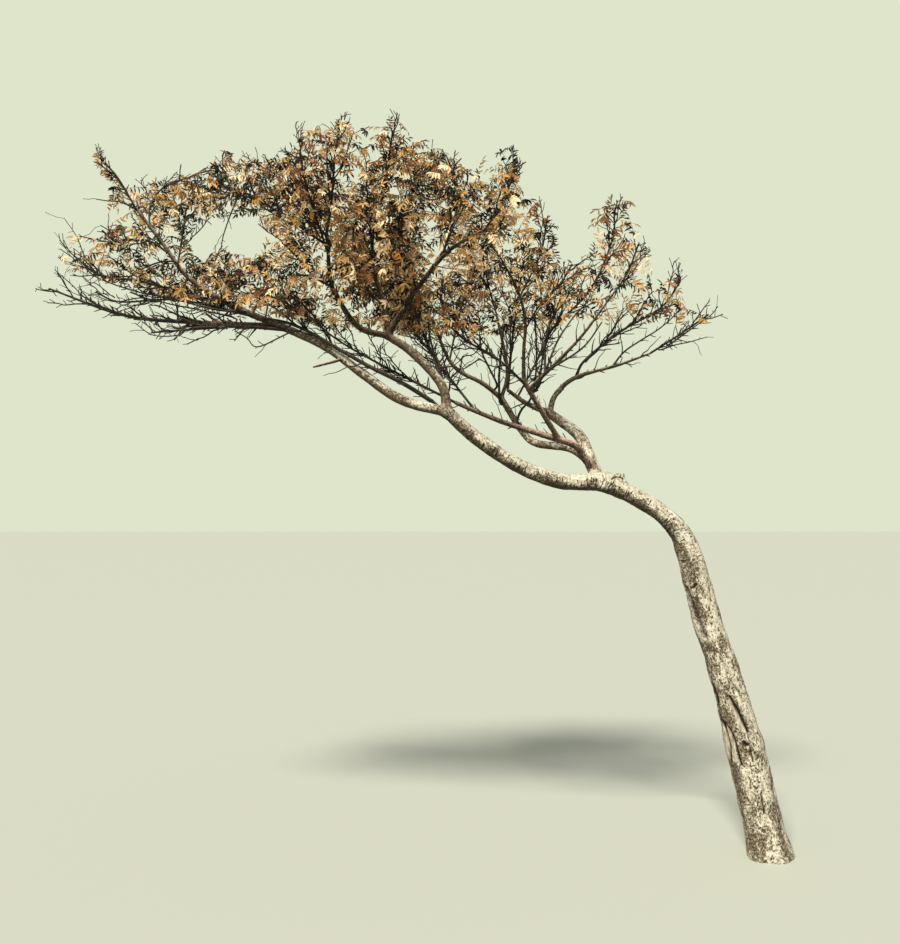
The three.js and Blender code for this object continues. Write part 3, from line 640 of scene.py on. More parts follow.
# Each mass: its name, its parent and the share of the parent's way where its shoot leaves, the shoot's
# width at the foot and the mass's reach in mm, how leafy it is, throughout or as (foot, tip), its tint,
# and the places that the shoot grows through.
MASSES = [
    ("far_left_low_mass", "low_left_bough", 1, 26, 150, (0.3, 0.02), "brown",
     [(-2495, -90, 2340), (-2825, -60, 2375), (-3165, -40, 2495)]),
    ("far_left_under_mass", "low_left_bough", 0.94, 16, 140, (0.3, 0), "brown",
     [(-2300, -200, 2310), (-2470, -210, 2300), (-2680, -200, 2285)]),
    ("far_left_arch_mass", "far_left_bough", 0.28, 11, 170, (0.85, 0.06), "rust",
     [(-2485, -140, 2445), (-2735, -160, 2510), (-2910, -150, 2535), (-3030, -130, 2625)]),
    ("far_left_rear_mass", "far_left_bough", 0.1, 11, 170, (0.85, 0.02), "brown",
     [(-2605, 40, 2455), (-2885, 90, 2455), (-3000, 100, 2500)]),
    ("left_spire_mass", "far_left_bough", 1, 9, 160, (0.1, 1.3), "tan",
     [(-2885, 30, 3000), (-2955, 30, 3075)]),
    ("left_crest_mass", "far_left_bough", 0.88, 9, 180, 0.75, "ochre",
     [(-2745, 60, 2880), (-2700, 110, 2970), (-2600, 130, 3020)]),
    ("left_middle_mass", "far_left_bough", 0.7, 9, 190, (0.7, 0.4), "brown",
     [(-2740, -60, 2705), (-2835, -120, 2680), (-2905, -140, 2730)]),
    ("left_dark_mass", "far_left_bough", 0.62, 9, 180, 0.65, "olive",
     [(-2595, 40, 2760), (-2575, 80, 2900), (-2465, 100, 2980)]),
    ("over_gap_mass", "crest_bough_left", 0.9, 12, 190, 0.55, "olive",
     [(-2200, -190, 2835), (-2350, -110, 2900), (-2440, -60, 2990)]),
    ("left_dome_mass", "crest_bough_left", 0.96, 11, 200, 0.6, "ochre",
     [(-2120, -60, 2930), (-2215, 0, 3030)]),
    ("under_gap_mass", "far_left_bough", 0.33, 8, 160, 0.95, "rust",
     [(-2385, -160, 2490), (-2305, -200, 2540), (-2220, -210, 2590)]),
    ("under_gap_rear_mass", "far_left_bough", 0.46, 8, 170, 0.95, "olive",
     [(-2500, 60, 2550), (-2480, 140, 2620)]),
    ("beside_gap_mass", "crest_bough_left", 0.6, 9, 180, 0.85, "tan",
     [(-1990, -260, 2520), (-2055, -280, 2600), (-2100, -280, 2670)]),
    ("low_left_mass", "low_left_bough", 0.8, 9, 170, 0.85, "rust",
     [(-2080, -240, 2390), (-2190, -250, 2440)]),
    ("left_peak_mass", "crest_bough_left", 1, 12, 180, 0.62, "tan",
     [(-1910, -250, 2835), (-1895, -240, 3040), (-1875, -230, 3160)]),
    ("front_peak_mass", "crest_bough_left", 0.84, 10, 200, 0.5, "rust",
     [(-2000, -380, 2860), (-2025, -400, 3010)]),
    ("middle_peak_mass", "crest_bough_middle", 1, 11, 180, 0.68, "ochre",
     [(-1700, 20, 2960), (-1665, 10, 3200)]),
    ("middle_front_mass", "crest_bough_middle", 0.78, 9, 180, 0.85, "tan",
     [(-1790, -90, 2740), (-1760, -140, 2860)]),
    ("middle_rear_mass", "crest_bough_middle", 0.9, 10, 190, 0.85, "olive",
     [(-1620, 160, 2860), (-1560, 200, 3080)]),
    ("middle_low_mass", "crest_bough_middle", 0.3, 8, 180, 0.8, "rust",
     [(-1790, -110, 2500), (-1790, -220, 2560)]),
    # The heart of the crown gets the near-black tint as painted shade.
    ("heart_mass", "crest_bough_right", 0.38, 9, 180, 0.9, "dark",
     [(-1610, -230, 2560), (-1630, -260, 2680)]),
    ("right_crest_mass", "crest_bough_right", 0.66, 11, 190, 0.95, "tan",
     [(-1380, -300, 2800), (-1415, -290, 2985)]),
    ("right_peak_mass", "crest_bough_right", 1, 10, 190, 0.68, "ochre",
     [(-1190, -350, 2810), (-1140, -340, 2980)]),
    ("front_low_mass", "front_bough", 0.9, 12, 180, 0.5, "brown",
     [(-1205, -190, 2170), (-1390, -270, 2280), (-1455, -330, 2430)]),
    ("front_crest_mass", "front_upper_bough", 1, 8, 180, 0.68, "tan",
     [(-1240, -220, 2675), (-1180, -180, 2780)]),
    ("front_right_mass", "front_upper_bough", 0.66, 8, 180, 0.42, "ochre",
     [(-1020, -70, 2640), (-990, -40, 2790)]),
    ("front_side_mass", "front_upper_bough", 0.4, 8, 160, 0.3, "tan",
     [(-1025, -90, 2415), (-935, -60, 2510), (-880, -50, 2600)]),
    ("right_spire_mass", "front_right_bough", 0.2, 12, 160, (0.25, 0.5), "rust",
     [(-980, -50, 2295), (-795, 10, 2495), (-695, 30, 2720), (-685, 30, 2850)]),
    ("right_side_mass", "front_right_bough", 1, 8, 150, 0.25, "brown",
     [(-660, -170, 2535), (-605, -150, 2670)]),
    ("right_clump_mass", "far_right_bough", 0.38, 13, 190, 0.42, "ochre",
     [(-806, 116, 2196), (-640, 150, 2330), (-455, 180, 2440), (-365, 180, 2560)]),
    ("far_right_mass", "far_right_bough", 1, 10, 150, 0.12, "tan",
     [(-385, 40, 2310), (-270, 20, 2390)]),
    ("rear_left_mass", "rear_left_bough", 1, 10, 210, 0.68, "tan",
     [(-1590, 430, 2600), (-1650, 440, 2800)]),
    ("rear_low_mass", "rear_left_bough", 0.6, 10, 210, 0.6, "brown",
     [(-1380, 500, 2400), (-1330, 560, 2600)]),
    ("rear_middle_mass", "rear_middle_bough", 1, 9, 200, 0.68, "rust",
     [(-1235, 360, 2580), (-1265, 330, 2740)]),
    ("rear_right_mass", "rear_right_bough", 1, 13, 210, 0.5, "tan",
     [(-1110, 470, 2370), (-1080, 480, 2585), (-1050, 450, 2750)]),
    ("rear_side_mass", "rear_right_bough", 0.75, 11, 210, 0.36, "olive",
     [(-960, 520, 2300), (-870, 560, 2560)]),
    ("inner_left_mass", "rust_bough", 1, 13, 200, 0.68, "brown",
     [(-1735, 240, 2190), (-1950, 330, 2320), (-2110, 370, 2460)]),
    ("inner_rear_mass", "rust_bough", 0.866, 12, 210, 0.8, "tan",
     [(-1600, 400, 2380), (-1765, 470, 2580), (-1850, 480, 2720)]),
    ("inner_front_mass", "rising_bough", 0.25, 10, 180, 0.85, "rust",
     [(-1500, 0, 2240), (-1580, 120, 2420), (-1640, 200, 2560)]),
    ("rear_dome_mass", "crest_bough_middle", 0.6, 12, 220, 0.5, "ochre",
     [(-1890, 200, 2820), (-2090, 260, 2990)]),
]
# The crown's upper edge, the lower edge of its leaves, and the openings in it as they show from the
# front, as (x, z) on the upright plane through the trunk's foot, and the place they are seen from.
VIEWPOINT = (-1412.4, -5500, 1694)
CROWN_EDGE = np.array([
    (-3225, 2548), (-3190, 2618), (-3155, 2671), (-3128, 2829), (-3076, 2829), (-3023, 2750),
    (-2988, 2715), (-2983, 3128), (-2952, 3124), (-2926, 3076), (-2891, 2996), (-2860, 2944),
    (-2829, 2944), (-2803, 2974), (-2750, 3001), (-2666, 3004), (-2596, 2990), (-2521, 3000),
    (-2486, 3018), (-2460, 3086), (-2416, 3120), (-2376, 3150), (-2297, 3136), (-2244, 3080),
    (-2196, 3085), (-2152, 3110), (-2108, 3150), (-2090, 3226), (-2037, 3245), (-1993, 3245),
    (-1949, 3285), (-1901, 3310), (-1866, 3296), (-1848, 3268), (-1804, 3220), (-1764, 3218),
    (-1720, 3278), (-1659, 3304), (-1632, 3234), (-1580, 3190), (-1531, 3168), (-1443, 3120),
    (-1368, 3076), (-1307, 3014), (-1298, 3093), (-1219, 3120), (-1104, 3128), (-1091, 3032),
    (-1060, 2952), (-1025, 2904), (-972, 2860), (-928, 2794), (-915, 2697), (-889, 2732),
    (-880, 2882), (-827, 2891), (-783, 2922), (-695, 2948), (-603, 2935), (-576, 2838),
    (-550, 2715), (-510, 2618), (-387, 2618), (-365, 2565), (-308, 2451), (-229, 2433),
]).T
LEAF_FLOOR = np.array([
    (-3216, 2560), (-2952, 2536), (-2732, 2476), (-2548, 2432), (-2358, 2394), (-2165, 2385),
    (-1976, 2335), (-1544, 2312), (-1192, 2305), (-928, 2345), (-664, 2365), (-312, 2335),
]).T
OPENINGS = [((-2548, 2664), (-2428, 2800)), ((-2392, 2650), (-2222, 2800)),
            ((-3128, 2740), (-2912, 3030)), ((-925, 2610), (-828, 2800))]
# How much less ragged the openings are than the upper edge, and how far a fine twig may pass it.
OPENING_EDGE = 0.35
TWIG_ALLOWANCE = 20
# The space between masses, and between a twig and a limb. Fine twigs and leaves of neighbouring masses
# reach the overlap into each other.
SPACE_GAP = 5
LIMB_GAP = 4
OVERLAP = 90
# A shoot's width at its tip, and how many spans it has beyond the places that it grows through.
SHOOT_TIP = 8
MORE_SPANS = 2
# Twigs turn round their parent by a step, and one that does not fit tries again a turn farther on. Each
# strays by so much about its place, and one near the parent's foot is longer than one near its tip.
SPIRAL_TURN = 2.4
TRIES = 4
TWIG_RETURN = 1.7
TWIG_STRAY = (0.3, 0.7)
TWIG_SHORTENING = (1.15, 0.7)
# A twig bends from bud to bud, so far apart, and keeps a share of its last bend.
BUD_STEP = 24
BENDS = (2, 9)
BEND_KEPT = 0.75
# Each kind of twig: spacing along its parent, first place as a share, angle to it, length as a share of
# the reach, lift, bend, and radius at foot (share of the parent's) and tip. Side twigs are the solids'
# own. Runners lie close along the shoot, as the wind lays them, and fine twigs leave all of these.
SIDE_TWIGS = dict(step=120, first=0.22, spread=(0.75, 1.25), share=(0.28, 0.6), lift=0.35, bend=0.05,
                  foot=0.66, tip=2.6)
RUNNERS = dict(step=75, first=0.06, spread=(0.25, 0.6), share=(0.7, 1.5), lift=0.12, bend=0.07,
               foot=0.64, tip=2.4)
FINE_TWIGS = dict(step=28, first=0.1, spread=(0.5, 1.15), share=(0.16, 0.44), lift=0.3, bend=0.08,
                  foot=0.76, tip=1.75)
# Bare twigs that show from the front: the lower crown, the wind-swept fan at the far left and the wood
# among the leaves, each with its width at foot and tip. They grow from the nearest wood, and begin in
# it where their first place lies within so much of it. Their line has so many points for each place.
IN_WOOD = 12
TWIG_POINTS = 4
BARE_TWIGS = [
    (13, 6, [(-1107, 150, 1934), (-1089, 120, 1977), (-1055, 80, 2015), (-1039, 50, 2076),
      (-1032, 30, 2136), (-1031, 10, 2210), (-1035, -10, 2304), (-1040, -30, 2381)]),
    (11, 6, [(-1048, -80, 2041), (-1023, -90, 2075), (-1019, -95, 2135), (-1000, -80, 2262),
      (-968, -60, 2364), (-919, -40, 2428), (-882, -20, 2492)]),
    (12, 5, [(-997, -150, 2139), (-956, -120, 2245), (-916, -100, 2312), (-866, -80, 2379),
      (-816, -60, 2434), (-792, -40, 2498)]),
    (12, 6, [(-1038, -120, 2064), (-1003, -175, 2120), (-946, -200, 2156), (-880, -215, 2197),
      (-828, -210, 2244), (-767, -190, 2331)]),
    (10, 5, [(-690, 75, 2167), (-637, 70, 2229), (-552, 70, 2287), (-496, 60, 2321), (-436, 50, 2369),
      (-402, 40, 2408)]),
    (9, 4, [(-444, 50, 2258), (-382, 30, 2300), (-319, 10, 2346), (-264, 0, 2385), (-233, 0, 2424)]),
    (8, 4, [(-482, 40, 2235), (-412, 60, 2259), (-347, 70, 2273), (-265, 80, 2297)]),
    (10, 4, [(-1417, -130, 2042), (-1408, -150, 2096), (-1370, -160, 2134), (-1357, -160, 2185),
      (-1310, -150, 2199), (-1267, -140, 2251)]),
    (13, 7, [(-1438, -120, 2051), (-1451, -110, 2117), (-1464, -100, 2174), (-1482, -90, 2209),
      (-1499, -80, 2279), (-1508, -70, 2346)]),
    (6, 4, [(-1357, -155, 2134), (-1395, -170, 2142), (-1498, -180, 2145), (-1553, -190, 2161)]),
    (11, 7, [(-1195, 280, 2096), (-1231, 300, 2177), (-1264, 310, 2252), (-1273, 320, 2323)]),
    (13, 8, [(-1182, 260, 2012), (-1186, 270, 2128), (-1177, 280, 2235), (-1167, 290, 2329)]),
    (22, 13, [(-1477, -140, 1986), (-1608, -190, 2068), (-1742, -215, 2134), (-1877, -215, 2210),
      (-1993, -205, 2279), (-2101, -190, 2327), (-2214, -170, 2351)]),
    (9, 4, [(-2625, -85, 2344), (-2805, -110, 2371), (-2959, -130, 2429), (-3039, -120, 2499),
      (-3116, -110, 2565)]),
    (12, 4, [(-2311, -150, 2379), (-2421, -180, 2388), (-2602, -190, 2433), (-2738, -190, 2459),
      (-2878, -190, 2505), (-2935, -185, 2536), (-3003, -170, 2594), (-3078, -160, 2647)]),
    (9, 4, [(-2598, -110, 2600), (-2659, -110, 2600), (-2729, -120, 2572), (-2783, -130, 2536),
      (-2873, -130, 2536), (-2953, -120, 2546)]),
    (8, 3, [(-2884, -185, 2510), (-2919, -150, 2559), (-2983, -120, 2619), (-3027, -90, 2711),
      (-3089, -70, 2797)]),
    (9, 4, [(-2338, -120, 2357), (-2479, -60, 2395), (-2620, -30, 2425), (-2763, -20, 2457),
      (-2879, -10, 2441), (-2970, 0, 2468)]),
    (9, 4, [(-2324, -200, 2317), (-2500, -230, 2301), (-2553, -240, 2270), (-2662, -240, 2270),
      (-2740, -230, 2322)]),
    (6, 4, [(-2500, -230, 2301), (-2538, -250, 2282), (-2569, -260, 2252)]),
    (8, 5, [(-2048, -200, 2292), (-2093, -215, 2282), (-2223, -225, 2222), (-2269, -225, 2259),
      (-2321, -220, 2290)]),
    (8, 4, [(-1853, -210, 2320), (-1826, -220, 2277), (-1818, -225, 2238), (-1792, -225, 2184),
      (-1775, -225, 2158)]),
    (8, 4, [(-2803, 0, 2856), (-2859, -20, 2878), (-2909, -30, 2880), (-2959, -40, 2886)]),
    (12, 5, [(-1918, -190, 2246), (-1969, -230, 2326), (-2021, -250, 2391), (-2083, -260, 2432)]),
    (8, 4, [(-2335, -130, 2850), (-2362, -140, 2775), (-2384, -150, 2700), (-2392, -155, 2640)]),
    (10, 5, [(-2050, -190, 2306), (-2129, -230, 2369), (-2204, -240, 2418), (-2296, -240, 2456)]),
    (12, 5, [(-1436, -330, 2610), (-1410, -400, 2670), (-1384, -400, 2722), (-1363, -400, 2763),
      (-1347, -400, 2808), (-1315, -390, 2845)]),
    (7, 3, [(-1437, -330, 2827), (-1491, -340, 2910), (-1532, -340, 2943), (-1574, -330, 2989)]),
    (7, 3, [(-1499, -330, 2819), (-1557, -340, 2873), (-1586, -340, 2943), (-1611, -330, 3005)]),
]
# Spurs, the short knobbly side shoots that a rowan bears its leaves on, on every bough that is thinner
# than so much: spacing and how far each strays, the last place on a bough, angle, lift, bend and length
# beyond the bark, most of them short. The radius at the foot is at most a share of the bearer's, and
# the tip a share of that.
SPUR_BOUGH = 36
SPUR_STEP = 27
SPUR_STRAY = (0.1, 0.9)
LAST_SPUR = 0.995
SPUR_SPREAD = (0.6, 1.2)
SPUR_LIFT = 0.15
SPUR_BEND = 0.09
SPUR_LENGTH = (8, 38)
MOSTLY_SHORT = 1.3
SPUR_FOOT = (2.0, 3.2)
FOOT_SHARE = 0.62
TIP_SHARE = 0.8
# Every so many is a longer bare twig, stouter at the foot, with a radius at its tip. For their draws,
# the bare twigs are numbered from so many on, after the boughs.
LONG_SPUR = 4
LONG_SPUR_LENGTH = (60, 190)
STOUTER = 1.3
LONG_SPUR_TIP = 1.2
BARE_TWIGS_FROM = 50


def chance(*key):
    """A repeatable number from 0 to 1 for each list of whole numbers, as in the solids. The last
    numbers in a key keep the draws of one kind of thing apart from those of another."""
    mixed = 0x9E3779B9
    for number in key:
        mixed = ((mixed ^ number) * 0x85EBCA6B) & 0xFFFFFFFF
        mixed ^= mixed >> 13
        mixed = (mixed * 0xC2B2AE35) & 0xFFFFFFFF
        mixed ^= mixed >> 16
    return mixed / 4294967296


def between(ends, share):
    """The number at a share of the way between two."""
    return ends[0] + (ends[1] - ends[0]) * share


shoots = []
for number, (name, parent, at, foot, reach, leafy, tint, through) in enumerate(MASSES):
    girth = [(0, foot), (1, SHOOT_TIP)]
    shoot = grow_limb(name, parent, at, girth, None, through, len(through) + MORE_SPANS)
    shoots.append(dict(shoot, number=number, reach=reach, leafy=leafy, tint=tint))

all_spans = [limb["spans"] for limb in [*shoots, *limbs.values()]]
span_starts = np.concatenate([spans[:-1] for spans in all_spans])
span_ways = np.concatenate([np.diff(spans, axis=0) for spans in all_spans])
first_spans = np.cumsum([0] + [len(spans) - 1 for spans in all_spans[:-1]])
shoot_spans = first_spans[len(shoots)]
first_spans = first_spans[:len(shoots)]
limb_radii = np.concatenate([limb["span_radii"] for limb in limbs.values()])


def room(shoot, points, overlap=-SPACE_GAP):
    """The share of its reach left at the farthest of the points, or 0 where they do not fit: each has
    to be within reach, clear of every limb, and nearer to its own shoot than to any other, or at most
    so much farther from it."""
    away = off_spans(np.asarray(points), span_starts, span_ways)[1]
    gaps = np.sqrt((away**2).sum(2))
    if (gaps[:, shoot_spans:] - limb_radii <= LIMB_GAP).any():
        return 0
    least = np.minimum.reduceat(gaps[:, :shoot_spans], first_spans, axis=1)
    own = least[:, shoot["number"]].copy()
    least[:, shoot["number"]] = np.inf
    if (least <= own[:, None] - overlap).any():
        return 0
    return max(0, 1 - own.max() / shoot["reach"])


def nearest_shoot(point):
    """The shoot that a point lies nearest to."""
    away = off_spans(point[None], span_starts[:shoot_spans], span_ways[:shoot_spans])[1][0]
    return shoots[int(np.minimum.reduceat((away**2).sum(1), first_spans).argmin())]


def as_seen(points):
    """Where points show from the front, as x and z on the upright plane through the trunk's foot."""
    rel = np.asarray(points) - VIEWPOINT
    return np.array([VIEWPOINT[k] - rel[:, k] / rel[:, 1] * VIEWPOINT[1] for k in (0, 2)])


def in_outline(points, allowance):
    """Whether points lie under the crown's upper edge and outside its openings, seen from the front."""
    x, z = as_seen(points)
    inside = z < np.interp(x, *CROWN_EDGE) + allowance
    for (left, low), (right, high) in OPENINGS:
        margin = allowance * OPENING_EDGE
        across = (x - (left + right) / 2) / ((right - left) / 2 - margin)
        up = (z - (low + high) / 2) / ((high - low) / 2 - margin)
        inside &= across**2 + up**2 > 1
    return bool(inside.all())


UP = np.array([0.0, 0.0, 1.0])
SIDEWAYS = np.array([1.0, 0.0, 0.0])
UPRIGHT = 0.9


def unit(vector):
    """A vector of length 1 with the same direction."""
    return vector / math.sqrt(vector @ vector)


def leaving(along, spread, turn):
    """A direction at an angle to a line, turned round it."""
    side = unit(np.cross(along, SIDEWAYS if abs(along[2]) > UPRIGHT else UP))
    side = side * math.cos(turn) + np.cross(along, side) * math.sin(turn)
    return along * math.cos(spread) + side * math.sin(spread)


def spot_on(line, share):
    """The place at a share of a broken line's length, and the line's direction there."""
    steps = np.linalg.norm(np.diff(line, axis=0), axis=1)
    reached = share * steps.sum()
    span = min(int(np.searchsorted(np.cumsum(steps), reached)), len(steps) - 1)
    way = (line[span + 1] - line[span]) / steps[span]
    return line[span] + way * (reached - steps[:span].sum()), way


def crooked(base, tip, bend, key):
    """A line from base towards tip that strays to one side and another, as twigs grow bud by bud."""
    length = np.linalg.norm(tip - base)
    steps = int(np.clip(round(length / BUD_STEP), *BENDS))
    away = (tip - base) / length
    line = [base]
    stray = np.zeros(3)
    for k in range(1, steps + 1):
        turn = leaving(away, math.pi / 2, 2 * math.pi * chance(*key, k, 61))
        stray = BEND_KEPT * stray + turn * bend * length / steps**0.5
        line.append(base + (tip - base) * k / steps + stray)
    return np.array(line)


def twigs_on(shoot, parent, rule, key):
    """Twigs spaced along a parent and turned round it. One that would not fit is left out."""
    count = round(parent["length"] / rule["step"])
    overlap = -SPACE_GAP if rule is SIDE_TWIGS else OVERLAP
    twigs = []
    for i in range(count):
        pick = [chance(*key, i, use) for use in range(6)]
        first = rule["first"]
        share = first + (1 - first) * (i + between(TWIG_STRAY, pick[0])) / count
        base, along = spot_on(parent["line"], share)
        length = shoot["reach"] * between(rule["share"], pick[2]) * between(TWIG_SHORTENING, share)
        for turn in range(TRIES):
            angle = SPIRAL_TURN * i + TWIG_RETURN * turn + pick[3]
            away = leaving(along, between(rule["spread"], pick[1]), angle)
            away = unit(away + UP * rule["lift"])
            tip = base + away * length
            if room(shoot, [base + away * length / 2, tip], overlap) == 0:
                continue
            if rule is SIDE_TWIGS or in_outline([tip], TWIG_ALLOWANCE):
                foot = rule["foot"] * between(parent["ends"], share)
                ends = (foot, min(rule["tip"], foot))
                line = crooked(base, tip, rule["bend"], (*key, i))
                twigs.append(dict(number=i, line=line, length=length, ends=ends))
                break
    return twigs


stems, side_twigs, fine_twigs, leaf_bearers = [], [], [], []
for shoot in shoots:
    number = shoot["number"]
    ends = (shoot["radii"][0], SHOOT_TIP / 2)
    stem = dict(number=len(shoots), line=shoot["spans"], length=shoot["length"], ends=ends)
    stems.append(dict(stem, line=shoot["line"]))
    bearers = [(shoot, stem, (number, stem["number"]), "stem")]
    for rule, key, numbered_from in ((SIDE_TWIGS, (number,), 0), (RUNNERS, (number, 55), 60)):
        found = twigs_on(shoot, stem, rule, key)
        side_twigs += found
        bearers += [(shoot, twig, (number, twig["number"] + numbered_from), "side") for twig in found]
    for _, bearer, key, _ in bearers[:]:
        finer = twigs_on(shoot, bearer, FINE_TWIGS, (*key, 77))
        fine_twigs += finer
        bearers += [(shoot, fine, (*key, fine["number"], 5), "fine") for fine in finer]
    leaf_bearers += bearers

wood_lines = [wood["line"] for wood in [*limbs.values(), *stems, *side_twigs]]
wood_starts = np.concatenate([line[:-1] for line in wood_lines])
wood_ways = np.concatenate([np.diff(line, axis=0) for line in wood_lines])
bare_twigs = []
for foot, tip, places in BARE_TWIGS:
    part, away = off_spans(np.array(places[:1], float), wood_starts, wood_ways)
    gaps = np.linalg.norm(away[0], axis=1)
    near = gaps.argmin()
    root = wood_starts[near] + part[0, near] * wood_ways[near]
    onward = places if gaps[near] > IN_WOOD else places[1:]
    places = np.array([root, *onward], float)
    line, length = spots_along(places, np.linspace(0, 1, TWIG_POINTS * len(places)))
    bare_twigs.append(dict(line=line, length=length, ends=(foot / 2, tip / 2)))

spurs = []
spur_bearers = [
    (number, limb["line"], limb["length"], limb["radii"])
    for number, limb in enumerate(limbs.values()) if limb["radii"][0] * 2 < SPUR_BOUGH
]
spur_bearers += [
    (number + BARE_TWIGS_FROM, twig["line"], twig["length"], np.linspace(*twig["ends"], len(twig["line"])))
    for number, twig in enumerate(bare_twigs)
]
for number, line, length, radii in spur_bearers:
    for i in range(round(length / SPUR_STEP)):
        pick = [chance(number, i, use, 402) for use in range(6)]
        share = (i + between(SPUR_STRAY, pick[0])) * SPUR_STEP / length
        base, along = spot_on(line, min(share, LAST_SPUR))
        away = leaving(along, between(SPUR_SPREAD, pick[1]), SPIRAL_TURN * i + pick[2])
        radius = float(np.interp(share, np.linspace(0, 1, len(radii)), radii))
        long = i % LONG_SPUR == LONG_SPUR // 2
        reach = between(LONG_SPUR_LENGTH if long else SPUR_LENGTH, pick[3] ** MOSTLY_SHORT)
        tip = base + unit(away + UP * SPUR_LIFT) * (radius + reach)
        foot = min(FOOT_SHARE * radius, between(SPUR_FOOT, pick[5]) * (STOUTER if long else 1))
        ends = (foot, LONG_SPUR_TIP if long else TIP_SHARE * foot)
        spurs.append(dict(line=crooked(base, tip, SPUR_BEND, (number, i, 403)), ends=ends))
        if number < len(limbs):
            leaf_bearers.append((nearest_shoot(tip), spurs[-1], (number, i, 405), "fine"))

# Young rowan bark: smooth, thin and a little glossy, dark grey-brown with small pale lenticels. Its
# colour is painted paler on the sky side as lit and almost black below as shade. Lenticels and patches
# in a metre, and how far the lenticels stand out:
YOUNG_LENTICELS = 150.0
YOUNG_PATCHES = 14.0
YOUNG_BUMPS = 1.5 * MM
twig_bark, tree, shader = new_material("young_rowan_bark", roughness=0.6, specular=0.3)
place = node(tree, "ShaderNodeTexCoord").outputs["Object"]
outward = node(tree, "ShaderNodeNewGeometry").outputs["Normal"]
skyward = node(tree, "ShaderNodeSeparateXYZ", {"Vector": outward}).outputs["Z"]
lenticels, patches = (
    node(tree, "ShaderNodeTexNoise", {"Vector": place, "Scale": in_a_metre}).outputs["Fac"]
    for in_a_metre in (YOUNG_LENTICELS, YOUNG_PATCHES)
)
# Painted light and shade: the side that faces the sky is paler, the underside near black, with real
# patches and lenticels.
painted_light_and_patches = sum_of(tree, (skyward, 0.28), (lenticels, 0.5), (patches, 0.5))
shade = node(tree, "ShaderNodeValToRGB", {"Fac": painted_light_and_patches}, (
    (0.33, "#13120c"), (0.55, "#28231a"), (0.74, "#5e4f3f"), (0.9, "#957e69"),
))
bumps = node(tree, "ShaderNodeBump", {"Height": lenticels, "Distance": YOUNG_BUMPS, "Strength": 0.6})
tree.links.new(shade.outputs["Color"], shader.inputs["Base Color"])
tree.links.new(bumps.outputs["Normal"], shader.inputs["Normal"])

mass_names = [row[0] for row in MASSES]
for name, wood, sides in (
    ("shoots", stems, 7), ("side_twigs", side_twigs, 5), ("fine_twigs", fine_twigs, 3),
    ("bare_twigs", bare_twigs, 6), ("spurs", spurs, 4),
):
    lines = [(twig["line"], np.linspace(*twig["ends"], len(twig["line"]))) for twig in wood]
    mesh = grown_mesh(lines_mesh(lines), tubes, {"Sides": sides, "Material": twig_bark})
    stand_for(name, mesh, mass_names)

# The leaves: feathered autumn leaves of thin dry blades, each a stalk with four or five pairs of
# leaflets and one at the end. They sit along the twigs in a spiral and hang a little, and the tint is
# dealt to each whole leaf. A few forms are made and copied to every place, turned and scaled.

# A leaf's length in mm, its places on each kind of wood as shares of the way, its angle to the wood, how
# far it hangs, how it turns when it tries again and how often, and how far its tip arches down.
LEAF_LENGTH = (80, 122)
LEAF_PLACES = {
    "stem": (0.985, 0.96, 0.93, 0.9, 0.86, 0.81, 0.76, 0.7, 0.63, 0.55, 0.46, 0.36),
    "side": (0.98, 0.93, 0.87, 0.8, 0.71, 0.61, 0.5, 0.38),
    "fine": (0.97, 0.84, 0.66, 0.42),
}
LEAF_SPREAD = (0.5, 1.25)
LEAF_DROOP = (-0.1, 0.7)
LEAF_RETURN = 1.9
LEAF_TRIES = 5
ARCH = 0.22
# What pulls a leaf's face up to the sky, and where the middle of its blades lies, as shares of its
# length: how far along, how far down, and how far to each side they reach.
FACE_UP = 1.3
MIDDLE = 0.55
MIDDLE_DROP = 0.06
HALF_BREADTH = 0.3
# The middles of two leaves are at least so far apart, and farther where a mass is less leafy, down to
# the sparsest. A leaf ends so much inside or outside the outline.
LEAF_GAP = 37
SPARSEST = 0.4
LEAF_CELL = 59
RAGGED_EDGE = (-100, 14)
# The wind keeps most leaves off the boughs: this share of those that would hide one within so much.
BARED = 0.75
BARED_WITHIN = 42
# The share of leaves that stay on at the edge of a mass, and how fast it rises towards the shoot.
THIN_EDGE = (0.75, 0.35)
FORMS = 12
# A leaf of length 1: how far its stalk arches down, sways and hangs its leaflets, how much shorter the
# arch makes it, where it has its joints and how thick it is at foot and end, how many pairs of leaflets
# it bears at least, where the first sits and over what length they do, and how far ahead its way is read
# at a pair and at the end.
STALK_ARCH = (0.08, 0.4)
ARCH_SHORTER = 0.25
STALK_SWAY = (-0.14, 0.14)
STALK_HANG = (0.2, 1.1)
STALK_JOINTS = (0.0, 0.42, 0.82)
STALK_HALF = (0.012, 0.006)
STALK_SIDES = ((0, 1, 0), (0, -0.5, 0.8), (0, -0.5, -0.8))
FEWEST_PAIRS = 4
FIRST_PAIR = 0.2
PAIRS_SPAN = 0.56
AHEAD = 0.05
END_AHEAD = 0.06
# A leaflet's length and width, where it has its corners and how wide it is there, and how it varies: the
# share that has fallen, droop, lean ahead and aside, twist, length, how much shorter it is away from
# the middle of the leaf, fold and curl, and the length, fold and curl of the end leaflet.
LEAFLET = 0.32
LEAFLET_WIDTH = 0.3
CORNERS = ((0.3, 1.0), (0.72, 0.78))
FALLEN = 0.08
DROOP = (-0.6, 0.6)
LEAN = (0.35, 0.8)
ASIDE = 0.8
TWIST = (-1.2, 1.2)
LENGTHS = (0.8, 1.08)
SHORTER = 0.4
FOLD = (0, 0.8)
CURL = (-0.05, 0.4)
END_LEAFLET = (LEAFLET * 0.85, 0.35, 0.3)


